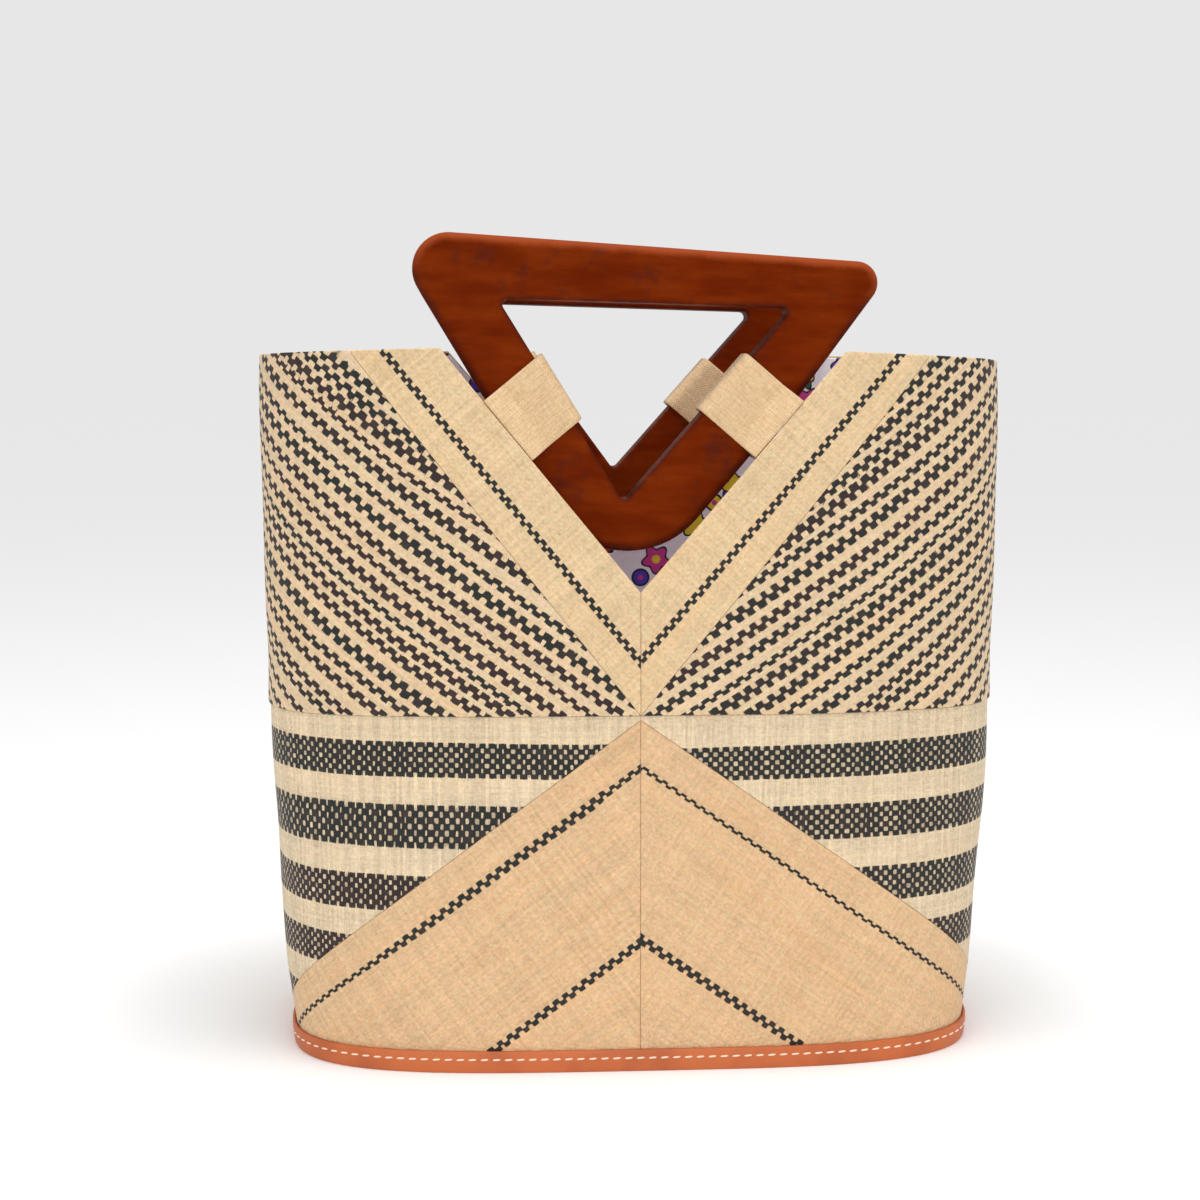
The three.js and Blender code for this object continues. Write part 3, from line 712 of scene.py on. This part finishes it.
def sheetPart(face, stations, taper, low, high, outer, inner, mapOf):
    rows = panelGrid["rows"]
    half = (outer - inner) / 2
    low = low[:, None]
    high = high[:, None]
    radius = np.minimum(half, (high - low) * 0.49)
    skin = np.linspace(0, 1, rows + 1)
    back = np.linspace(1, 0, panelGrid["innerRows"] + 1)
    fold = np.linspace(0, math.pi, 2 * panelGrid["foldSteps"] + 1)[1:-1]
    flat = np.concatenate([skin, np.ones(len(fold)), back, np.zeros(len(fold))])
    swell = np.concatenate([np.zeros(rows + 1), np.sin(fold), np.zeros(len(back)), -np.sin(fold)])
    stand = np.concatenate([np.ones(rows + 1), np.cos(fold), -np.ones(len(back)), -np.cos(fold)])
    z = low + radius + (high - low - 2 * radius) * flat + radius * swell
    out = (outer + inner) / 2 + half * taper[:, None] * stand
    around = np.broadcast_to(stations[:, None], z.shape)
    points = wallPoint(face, around, z, out)
    return facingOut(gridPart(points, closedColumns=True, maps=mapOf(around, z)))


# Stripes as one number: it passes a whole number at each stripe's middle and runs evenly between
# them, so its fraction tells how far a point is from the nearest stripe
def stripeNumber(centres, halves, z):
    number = np.zeros(z.shape)
    spacing = centres[0] - centres[1]
    half = np.full(z.shape, halves[0])
    for k in range(len(centres) - 1):
        step = centres[k] - centres[k + 1]
        share = (centres[k] - z) / step
        number = number + np.clip(share, 0 if k else None, 1)
        spacing = np.where(share > 0, step, spacing)
        half = np.where(share > 0.5, halves[k + 1], half)
    beyond = (centres[-1] - z) / spacing
    number = np.where(beyond > 0, len(centres) - 1 + beyond, number)
    return np.maximum(number, -0.45), half / spacing


def clothMap(kind, face, side):
    chevronReach = seams["chevronReach"][side]

    def mapOf(around, z):
        s = np.abs(around) * np.interp(z, plan["heights"], plan["lengths"]) / seamDistance
        if kind == "striped":
            table = np.array(stripes[side])
            marks = [0, 60, 100, 140, 220]
            low = table[:, 0] - 60 * weave["innerSlope"][side]
            high = table[:, 2] + 80 * weave["outerSlope"]
            rows = np.stack([low, table[:, 0], table[:, 1], table[:, 2], high], axis=-1)
            centres = [np.interp(s, marks, row) for row in rows]
            slant = math.atan(weave["stripeSlope"])
            halves = table[:, 3] * weave["stripeHalf"] / math.cos(slant)
            number, reach = stripeNumber(centres, halves, z)
            along = s * math.cos(slant) + z * math.sin(slant)
            across = z * math.cos(slant) - s * math.sin(slant)
            pitch = weave["stripePitch"][side]
        elif kind == "sides":
            table = np.array(bands[side])
            lift = weave["bandRise"] * np.clip((s - 60) / 100, -1, 1)
            centres = [row.mean() + lift for row in table]
            number, reach = stripeNumber(centres, (table[:, 0] - table[:, 1]) / 2, z)
            along = s
            across = z
            pitch = weave["bandPitch"]
        elif kind == "band":
            line = weave["bandLine"]
            slant = math.atan((body["rimHeight"] - seams["notchTip"][face]) / notchCorner(face, side))
            across = (seams["notchTip"][face] + s * math.tan(slant) - z) * math.cos(slant)
            number = (across - line["depth"]) / line["scale"]
            reach = np.full(s.shape, line["half"] / line["scale"])
            pitch = weave["linePitch"]["band"]
            along = s * math.cos(slant) + z * math.sin(slant)
        else:
            slant = math.atan((seams["chevronApex"] - seams["stripHeight"]) / chevronReach)
            across = (seams["chevronApex"] - s * math.tan(slant) - z) * math.cos(slant)
            number = (across - chevronLines["depth"]) / chevronLines["apart"]
            half = np.interp(s, *chevronLines["upper"][side])
            half = np.where(number > 0.5, chevronLines["lower"][side], half)
            reach = half / chevronLines["apart"]
            pitch = weave["linePitch"]["chevron"]
            along = s * math.cos(slant) - z * math.sin(slant)
        shift = 500 * (side > 0) + 1000 * (face == "back")
        return {
            "weave": np.stack([along / pitch, number], axis=-1),
            "reach": np.stack([reach, 0 * reach + shift], axis=-1),
            "cloth": np.stack([along + shift, across], axis=-1),
        }
    return mapOf


def plainMap(face):
    shift = 0 if face == "front" else 430
    return lambda around, z: {"cloth": np.stack([around + shift, z], axis=-1)}


# The four panels of each side of a face, each between two distances and two height lines. Where two
# lines meet at a sharp tip, the panel ends where it is still slim high.
def addPanels(face):
    gap = layers["crease"]
    foot = seams["foot"]
    seam = seams["cross"]
    slim = 0.6
    for side in (-1, 1):
        hand = "left" if (face == "front") == (side < 0) else "right"
        end = seamDistance - gap / 2
        corner = notchCorner(face, side)
        bandFoot = corner + seams["bandWidth"]

        def panel(kind, level, start, finish, kinks, lowAt, highAt):
            stations, taper = columnStations(start, finish, layers["raffia"] / 2, kinks)
            if side < 0:
                stations, taper = -stations[::-1], taper[::-1]
            part = sheetPart(
                face, stations, taper, lowAt(stations), highAt(stations),
                layers[level + "Outer"], layers[level + "Inner"], clothMap(kind, face, side)
            )
            name = f"{face}_{kind}_{hand}"
            addPiece("cloth_" + name, part, raffia[kind].material, name)

        def aboveRim(r, more):
            return float(bandEdgeAt(face, side * r) + more - rimAt(face, side * r))

        def lowerEdge(around):
            return np.maximum(chevronEdgeAt(around) + gap, foot)

        panel(
            "striped", "upper", bandFoot * (slim + 2 * gap) / (body["rimHeight"] - seam), end,
            [crossing(lambda r: aboveRim(r, -gap), corner, bandFoot + 20)],
            lambda around: np.full(len(around), seam + gap / 2),
            lambda around: np.minimum(bandEdgeAt(face, around) - gap, rimAt(face, around))
        )
        panel(
            "band", "upper", gap / 2, crossing(lambda r: aboveRim(r, slim), corner, bandFoot + 20),
            [corner], lambda around: np.maximum(bandEdgeAt(face, around), seam + gap / 2),
            lambda around: np.minimum(notchEdgeAt(face, around), rimAt(face, around))
        )
        panel(
            "sides", "lower",
            crossing(lambda r: float(seam - gap / 2 - slim - lowerEdge(side * r)), 0, 150), end,
            (), lowerEdge, lambda around: np.full(len(around), seam - gap / 2)
        )
        panel(
            "chevron", "lower", gap / 2,
            min(end, crossing(lambda r: float(foot + slim - chevronEdgeAt(side * r)), 0, 240)),
            (), lambda around: np.full(len(around), foot), chevronEdgeAt
        )


for faceName in ("front", "back"):
    addPanels(faceName)
print("panels made")


# Lining: two half walls and a floor, one piece
lining = {"edgeDrop": 1.0, "floor": 3.3}


def addLining():
    parts = []
    for face in ("front", "back"):
        half = layers["lining"] / 2
        corners = [-notchCorner(face, -1), 0.0, notchCorner(face, 1)]
        stations, taper = columnStations(-seamDistance, seamDistance, half, corners)
        high = np.minimum(notchEdgeAt(face, stations), rimAt(face, stations)) - lining["edgeDrop"]
        low = np.full(len(stations), lining["floor"])
        wide = np.ones_like(taper)
        parts.append(sheetPart(
            face, stations, wide, low, high, layers["liningOuter"], layers["liningInner"], plainMap(face)
        ))
    turn = np.linspace(-1, 1, 121) * seamDistance
    shares = np.concatenate([np.linspace(0, 1, 14), np.linspace(1, 0, 14)])[:, None]
    top = np.where(np.arange(28) < 14, 0.0, layers["lining"])[:, None]
    for face in ("front", "back"):
        edge = wallPoint(face, turn, lining["floor"], layers["liningInner"] - 0.2)[None]
        points = edge * shares[..., None]
        points[..., 2] = lining["floor"] + top
        maps = {"cloth": points[..., :2].copy()}
        parts.append(facingOut(gridPart(points, closedRows=True, maps=maps)))
    addPiece("cloth_lining", joinParts(parts), liningCloth.material, "lining")


addLining()
print("lining made")

# Handles: the rounded triangle, its hole and the section between them
handle = {
    "reach": {"left": 110, "right": 104.2},
    "rise": {"left": 161.5, "right": 159.5},
    "thickness": 18,
    "roundover": 4,
    "barAtTip": {"front": {"left": 27.3, "right": 32.7}, "back": {"left": 35, "right": 32.7}},
    "barAtTop": {"left": 26, "right": 23.9},
    "topBar": {"left": 26, "right": 20.5},
    "shoulders": {"left": 15, "right": 9, "bend": 60, "tip": 38},
    "tipLift": 8,
    "bendShare": 0.6,
    "holeRadius": 2.5,
    "holeRoundover": 1.5,
    "tilt": math.radians(3.3),
    "tipBelowNotch": {"front": 17.6, "back": 24.9},
    "shift": {"front": -5.7, "back": -7.5},
}
loop = {
    "width": {"front": {"left": 31.4, "right": 30.5}, "back": {"left": 28, "right": 28}},
    "distance": {"front": {"left": 86.4, "right": 88.7}, "back": {"left": 82, "right": 79.5}},
    "slack": {"front": {"left": 2.3, "right": 1.4}, "back": {"left": 1.4, "right": 1.4}},
    "rounding": 3.3,
    "thickness": 1.2,
    "tab": 11,
}


def handleCorners(face):
    slant = {hand: math.atan(handle["reach"][hand] / handle["rise"][hand]) for hand in ("left", "right")}
    corners = {"outer": {"lines": np.zeros(2)}, "hole": {}}
    for hand, side in (("left", -1), ("right", 1)):
        reach = handle["reach"][hand]
        rise = handle["rise"][hand]
        up = rise - handle["topBar"][hand]
        across = up * math.tan(slant[hand]) - handle["barAtTop"][hand] / math.cos(slant[hand])
        corners["outer"][hand] = np.array([side * reach, rise])
        corners["hole"][hand] = np.array([side * across, up])
    left, right = slant["left"], slant["right"]
    corners["outer"]["bend"] = corners["outer"]["right"] * handle["bendShare"]
    corners["outer"]["tip"] = np.array([-math.sin(left), math.cos(left)]) * handle["tipLift"]
    bar = handle["barAtTip"][face]
    tipX = bar["left"] / math.sin(left) - bar["right"] / math.sin(right)
    tipX = tipX / (1 / math.tan(left) + 1 / math.tan(right))
    tipY = bar["left"] / math.sin(left) - tipX / math.tan(left)
    corners["hole"]["tip"] = np.array([tipX, tipY])
    return corners


# The directions from a corner to its two neighbours, and half the angle between them
def cornerOf(points, i):
    before = points[i - 1] - points[i]
    after = points[(i + 1) % len(points)] - points[i]
    before = before / np.linalg.norm(before)
    after = after / np.linalg.norm(after)
    return before, after, math.acos(float(before @ after)) / 2


# A polygon with round corners as points and inward normals: an arc for each corner, then a side
def roundedRing(points, radii, arcSteps, sideSteps):
    outline = []
    normals = []
    for i, point in enumerate(points):
        before, after, half = cornerOf(points, i)
        middle = (before + after) / np.linalg.norm(before + after)
        centre = point + middle * radii[i] / math.sin(half)
        way = 1 if before[0] * after[1] - before[1] * after[0] < 0 else -1
        first = point + before * radii[i] / math.tan(half) - centre
        sweep = way * np.linspace(0, 1, arcSteps[i]) * (math.pi - 2 * half)
        angles = math.atan2(first[1], first[0]) + sweep
        spokes = np.stack([np.cos(angles), np.sin(angles)], axis=-1)
        arc = centre + radii[i] * spokes
        following = (i + 1) % len(points)
        behind, ahead, nextHalf = cornerOf(points, following)
        end = points[following] + behind * radii[following] / math.tan(nextHalf)
        shares = np.linspace(0, 1, sideSteps[i] + 2)[1:-1, None]
        outline.extend([arc, arc[-1] * (1 - shares) + end * shares])
        normals.extend([-spokes, np.repeat(-spokes[-1:], sideSteps[i], axis=0)])
    return np.concatenate(outline), np.concatenate(normals)


def handleTip(face):
    return np.array([handle["shift"][face], seams["notchTip"][face] - handle["tipBelowNotch"][face]])


# Turns the handle's own drawing by its tilt and puts it in the plane of the face
def onHandle(face, points):
    c = math.cos(handle["tilt"])
    s = math.sin(handle["tilt"])
    x = points[..., 0] * c + points[..., 1] * s
    z = -points[..., 0] * s + points[..., 1] * c
    return np.stack([x, z], axis=-1) + handleTip(face)


# The handles' outer faces lie clear of the lining beside the notch, its waves left out
notchSpot = (np.array(seams["notchHalf"]["front"]), np.array(float(body["rimHeight"])))
notchWall = wallPoint("front", *notchSpot, layers["liningInner"])
notchRipple = float(ripple("front", *notchSpot))
notchWallPlain = -float(notchWall[1]) - notchRipple
handleFace = notchWallPlain - loop["thickness"] - 2 * layers["gap"]


# The handle's surface: round its outline by round its section, a rectangle with quarter round
# corners whose two sides follow the outer outline and the hole
def addHandle(face):
    corners = handleCorners(face)
    order = ("tip", "bend", "right", "left")
    outer, outerNormal = roundedRing(
        [corners["outer"][k] for k in order], [handle["shoulders"][k] for k in order],
        (20, 6, 20, 20), (12, 12, 30, 30)
    )
    order = ("tip", "right", "left")
    hole, holeNormal = roundedRing(
        [corners["hole"][k] for k in order], [handle["holeRadius"]] * 3, (20, 20, 20), (30, 30, 30)
    )
    thickness = handle["thickness"]
    turn = np.linspace(0, math.pi / 2, 9)
    bend = np.concatenate([(1 - np.cos(turn))[::-1], 1 - np.cos(turn)])
    dip = 1 - np.sin(turn)

    def depthOf(radius):
        return np.concatenate([radius * dip[::-1], thickness - radius * dip])

    outerSide = outer[:, None] + outerNormal[:, None] * handle["roundover"] * bend[None, :, None]
    holeSide = hole[:, None] - holeNormal[:, None] * handle["holeRoundover"] * bend[None, :, None]
    facing = np.linspace(0, 1, 10)[1:-1]
    facing = facing[None, :, None]
    farFace = outerSide[:, -1:] * (1 - facing) + holeSide[:, -1:] * facing
    nearFace = holeSide[:, :1] * (1 - facing) + outerSide[:, :1] * facing
    ring = np.concatenate([outerSide, farFace, holeSide[:, ::-1], nearFace], axis=1)
    depths = np.concatenate([
        depthOf(handle["roundover"]), np.full(8, thickness),
        depthOf(handle["holeRoundover"])[::-1], np.zeros(8),
    ])
    place = onHandle(face, ring)
    way = -1 if face == "front" else 1
    y = np.broadcast_to(way * (handleFace - depths), place.shape[:2])
    points = np.stack([place[..., 0], y, place[..., 1]], axis=-1)
    fromOuter = np.linalg.norm(ring - outer[:, None], axis=-1)
    fromHole = np.linalg.norm(ring - hole[:, None], axis=-1)
    maps = {"board": ring.copy(), "edges": np.stack([fromOuter, fromHole], axis=-1)}
    part = facingOut(gridPart(points, closedRows=True, closedColumns=True, maps=maps))
    addPiece("wood_handle_" + face, part, woodFinish.material, "handle_" + face)


for faceName in ("front", "back"):
    addHandle(faceName)
print("handles made")


# Where a line from a point in a direction meets the line through two points, as a distance
def meets(point, direction, through, other):
    along = other - through
    to = through - point
    slope = direction[0] * along[1] - direction[1] * along[0]
    return float((to[0] * along[1] - to[1] * along[0]) / slope)


# Loops: a strap round the slanting bar and a tab from it to the notch's edge. A point of the strap
# is foot(u) + inward p(v) across the bar and q(v) in depth, with (p, q) on a rounded rectangle.
def addLoop(face, hand):
    x = -1 if hand == "left" else 1
    side = x if face == "front" else -x
    way = -1 if face == "front" else 1
    tip = np.array([0.0, seams["notchTip"][face]])
    corner = np.array([x * notchCorner(face, side), body["rimHeight"]])
    along = (corner - tip) / np.linalg.norm(corner - tip)
    inward = np.array([-x * along[1], x * along[0]])
    corners = handleCorners(face)
    barOut = [onHandle(face, corners["outer"][key]) for key in ("lines", hand)]
    barIn = [onHandle(face, corners["hole"][key]) for key in ("tip", hand)]
    gap = layers["gap"]
    thick = loop["thickness"]
    width = loop["width"][face][hand]

    # Across the strap: flat outer skin, round edge, flat inner skin, round edge
    fold = np.linspace(0, math.pi, 7)[1:-1]
    flat = np.linspace(0, 1, 13)
    across = np.concatenate([flat, np.ones(5), flat[::-1], np.zeros(5)])
    swell = np.concatenate([np.zeros(13), np.sin(fold), np.zeros(13), -np.sin(fold)])
    skin = np.concatenate([np.ones(13), np.cos(fold), -np.ones(13), -np.cos(fold)])
    edge = thick / 2 / width
    share = -0.5 + edge + (1 - 2 * edge) * across + edge * swell
    feet = tip + along * (loop["distance"][face][hand] + share[:, None] * width)
    fromAcross = np.array([meets(foot, inward, *barOut) for foot in feet]) - gap
    toAcross = np.array([meets(foot, inward, *barIn) for foot in feet]) + gap
    toAcross = toAcross + loop["slack"][face][hand]
    grow = thick * (1 + skin) / 2
    nearDepth = handleFace - handle["thickness"] - gap
    farDepth = handleFace + gap
    radius = loop["rounding"] + grow

    # Round the bar: four straight runs and four quarter circles
    turn = np.linspace(0, math.pi / 2, 8)
    run = np.linspace(0, 1, 12)[1:-1]
    shares = run[:, None]
    pieces = []
    centres = [
        (toAcross + grow - radius, farDepth + grow - radius),
        (fromAcross - grow + radius, farDepth + grow - radius),
        (fromAcross - grow + radius, nearDepth - grow + radius),
        (toAcross + grow - radius, nearDepth - grow + radius),
    ]
    for quarter, centre in enumerate(centres):
        cosine = np.cos(turn + quarter * math.pi / 2)
        sine = np.sin(turn + quarter * math.pi / 2)
        following = centres[(quarter + 1) % 4]
        p = centre[0] + radius * cosine[:, None]
        q = centre[1] + radius * sine[:, None]
        pieces.append(np.stack([p, q], axis=-1))
        endP = following[0] + radius * cosine[-1]
        endQ = following[1] + radius * sine[-1]
        pieces.append(np.stack([
            p[-1] * (1 - shares) + endP * shares, q[-1] * (1 - shares) + endQ * shares
        ], axis=-1))
    ring = np.concatenate(pieces)
    spot = feet[None] + inward * ring[..., :1]
    points = np.stack([spot[..., 0], way * ring[..., 1], spot[..., 1]], axis=-1)
    step = np.hypot(*np.moveaxis(np.diff(ring, axis=0, prepend=ring[:1]), -1, 0))
    travel = np.cumsum(step, axis=0)
    strapMap = np.stack([np.broadcast_to(share * width, travel.shape), travel], axis=-1)
    maps = {"cloth": strapMap}
    parts = [facingOut(gridPart(points, closedRows=True, closedColumns=True, maps=maps))]

    # The tab leaves the ring's outer skin and rises to the wall, by a smooth step
    footX, footZ = feet.mean(axis=0)
    wallDepth = -float(wallPoint("front", np.array(abs(footX)), np.array(footZ), 0.2)[1])
    rise = np.linspace(0, 1, 16)[:, None]
    smooth = rise * rise * (3 - 2 * rise)
    p = gap + (loop["tab"] - gap) * rise + 0 * share
    middle = wallDepth - 0.4 + (farDepth + thick / 2 - wallDepth + 0.4) * smooth
    q = middle + skin * thick / 2 * (1 - 0.12 * rise)
    spot = feet[None] + inward * p[..., None]
    points = np.stack([spot[..., 0], way * q, spot[..., 1]], axis=-1)
    lid = points.mean(axis=1, keepdims=True) + 0 * points
    points = np.concatenate([lid[:1], points, lid[-1:]])
    tabMap = np.stack([np.broadcast_to(share * width, p.shape), p - 40], axis=-1)
    tabMap = np.concatenate([tabMap[:1], tabMap, tabMap[-1:]])
    parts.append(facingOut(gridPart(points, closedColumns=True, maps={"cloth": tabMap})))
    node = f"loop_{face}_{hand}"
    addPiece(f"strap_{face}_{hand}", joinParts(parts), loopCloth.material, node)


for faceName in ("front", "back"):
    for handName in ("left", "right"):
        addLoop(faceName, handName)
print("loops made")

# Foot: the leather strip with its stitches, and the sole plate
foot = {
    "stripThickness": 1.4,
    "bulge": 0.25,
    "rounding": 0.6,
    "stitchHeight": 5.9,
    "stitchLength": 3.6,
    "stitchGap": 1.6,
    "stitchRadius": 0.42,
}


# A ring swept round the bag through rows of (out, z), front half then back half
def sweepRound(profile, steps):
    points = []
    places = []
    for face in ("front", "back"):
        around = np.linspace(-1, 1, steps + 1)[:-1, None] * seamDistance
        z = np.broadcast_to(profile[None, :, 1], (steps, len(profile)))
        points.append(wallPoint(face, around, z, profile[None, :, 0]))
        places.append(plainMap(face)(np.broadcast_to(around, z.shape), z)["cloth"])
    return np.concatenate(points), np.concatenate(places)


def addFoot():
    inner = layers["lowerOuter"] + layers["gap"]
    outer = inner + foot["stripThickness"]
    r = foot["rounding"]
    turn = np.linspace(0, math.pi / 2, 6)
    low = np.stack([outer - r + r * np.sin(turn), r - r * np.cos(turn)], axis=-1)
    high = np.stack([outer - r + r * np.cos(turn), seams["stripHeight"] - r + r * np.sin(turn)], axis=-1)
    side = np.stack([np.full(6, outer), np.linspace(r, seams["stripHeight"] - r, 8)[1:-1]], axis=-1)
    bulge = foot["bulge"] * np.sin(np.linspace(0, math.pi, 8)[1:-1])
    side[:, 0] += bulge
    back = np.array([[inner, seams["stripHeight"]], [inner, 0.0]])
    profile = np.concatenate([low, side, high, back])
    points, places = sweepRound(profile, 220)
    maps = {"strip": places}
    part = facingOut(gridPart(points, closedRows=True, closedColumns=True, maps=maps))
    addPiece("leather_foot", part, leatherFinish.material, "leather_strip")

    # Stitches: capsules laid along the strip, radius r sin(pi t) at share t of their length
    pitch = foot["stitchLength"] + foot["stitchGap"]
    parts = []
    for face in ("front", "back"):
        count = int(2 * seamDistance / pitch)
        centres = (np.arange(count) + 0.5) * 2 * seamDistance / count - seamDistance
        t = np.linspace(0, 1, 9)
        girth = np.linspace(0, 2 * math.pi, 9)[:-1]
        size = foot["stitchRadius"] * np.minimum(1, 2.2 * np.sqrt(np.clip(t * (1 - t), 0, 1)))
        around = centres[:, None, None] + ((t - 0.5) * foot["stitchLength"])[None, :, None]
        out = outer + 0.3 + size[None, :, None] * np.cos(girth)[None, None]
        z = foot["stitchHeight"] + size[None, :, None] * np.sin(girth)[None, None]
        z = z + 0.25 * (t - 0.5)[None, :, None]
        around, z, out = np.broadcast_arrays(around, z, out)
        points = wallPoint(face, around, z, out)
        rows = gridFaces(len(t), len(girth), closedColumns=True)
        starts = np.arange(count)[:, None, None] * len(t) * len(girth)
        faces = (rows[None] + starts).reshape(-1, 4)
        parts.append(facingOut({"points": points.reshape(-1, 3), "faces": faces, "maps": {}}))
    addPiece("foot_stitches", joinParts(parts), threadFinish.material, None)


addFoot()
for soleSlot in bpy.data.objects["base"].material_slots:
    soleSlot.material = leatherFinish.material
print("foot made")

# Floor, light and camera
view = {
    "distance": 900.6,
    "height": 294.9,
    "yaw": 0.073,
    "aim": -0.014,
    "pitch": 0.114,
    "focal": 2006.4 / 1200 * 36,
}


# Place, aim, size and power of each light, in metres and watts
lights = {
    "keyLight": ((-0.9, -1.3, 1.5), (0, 0, 0.15), 1.2, 0.7),
    "fillLight": ((1.3, -1.0, 0.9), (0, 0, 0.15), 1.4, 0.5),
    "frontLight": ((-0.12, -1.5, 0.35), (0, 0, 0.15), 0.6, 3.4),
    "topLight": ((0.05, -0.2, 1.7), (0, 0.03, 0.2), 0.5, 7.8),
    "insideLight": ((0.02, -0.055, 0.85), (0, 0.055, 0.22), 0.15, 0.9),
}


def addStage():
    size = 12.0
    corners = [(-size, -size, 0), (size, -size, 0), (size, size, 0), (-size, size, 0)]
    floorFinish = Shader("floorFinish", 0.95, color=(0.94, 0.94, 0.94))
    floorFinish.surface.inputs["Specular IOR Level"].default_value = 0.0
    floorFinish.surface.inputs["Emission Color"].default_value = (1, 1, 1, 1)
    floorFinish.surface.inputs["Emission Strength"].default_value = 0.05
    mesh = bpy.data.meshes.new("floor")
    mesh.from_pydata(corners, [], [(0, 1, 2, 3)])
    mesh.materials.append(floorFinish.material)
    floor = linked("floor", mesh)
    world = bpy.data.worlds.new("studio")
    bpy.context.scene.world = world
    world.use_nodes = True
    background = world.node_tree.nodes["Background"]
    background.inputs["Color"].default_value = (1, 1, 1, 1)
    background.inputs["Strength"].default_value = 0.8


def addLight(name, place, aim, size, power):
    lamp = bpy.data.lights.new(name, "AREA")
    lamp.size = size
    lamp.energy = power
    obj = linked(name, lamp)
    obj.location = place
    obj.rotation_euler = (Vector(aim) - Vector(place)).to_track_quat("-Z", "Y").to_euler()


def addCamera():
    camera = bpy.data.cameras.new("camera")
    camera.lens = view["focal"]
    camera.sensor_width = 36
    camera.sensor_fit = "HORIZONTAL"
    camera.clip_start = 0.05
    camera.clip_end = 20
    obj = linked("camera", camera)
    yaw = view["yaw"]
    heading = yaw + view["aim"]
    pitch = view["pitch"]
    forward = Vector((
        math.sin(heading) * math.cos(pitch), math.cos(heading) * math.cos(pitch), -math.sin(pitch)
    ))
    right = Vector((math.cos(heading), -math.sin(heading), 0))
    up = right.cross(forward)
    turned = Matrix((right, up, -forward)).transposed().to_4x4()
    away = view["distance"]
    spot = Vector((-away * math.sin(yaw), -away * math.cos(yaw), view["height"]))
    turned.translation = spot / 1000
    obj.matrix_world = turned
    bpy.context.scene.camera = obj


addStage()
for lightName, values in lights.items():
    addLight(lightName, *values)
addCamera()
bpy.context.scene.view_settings.view_transform = "Standard"
print("stage made")
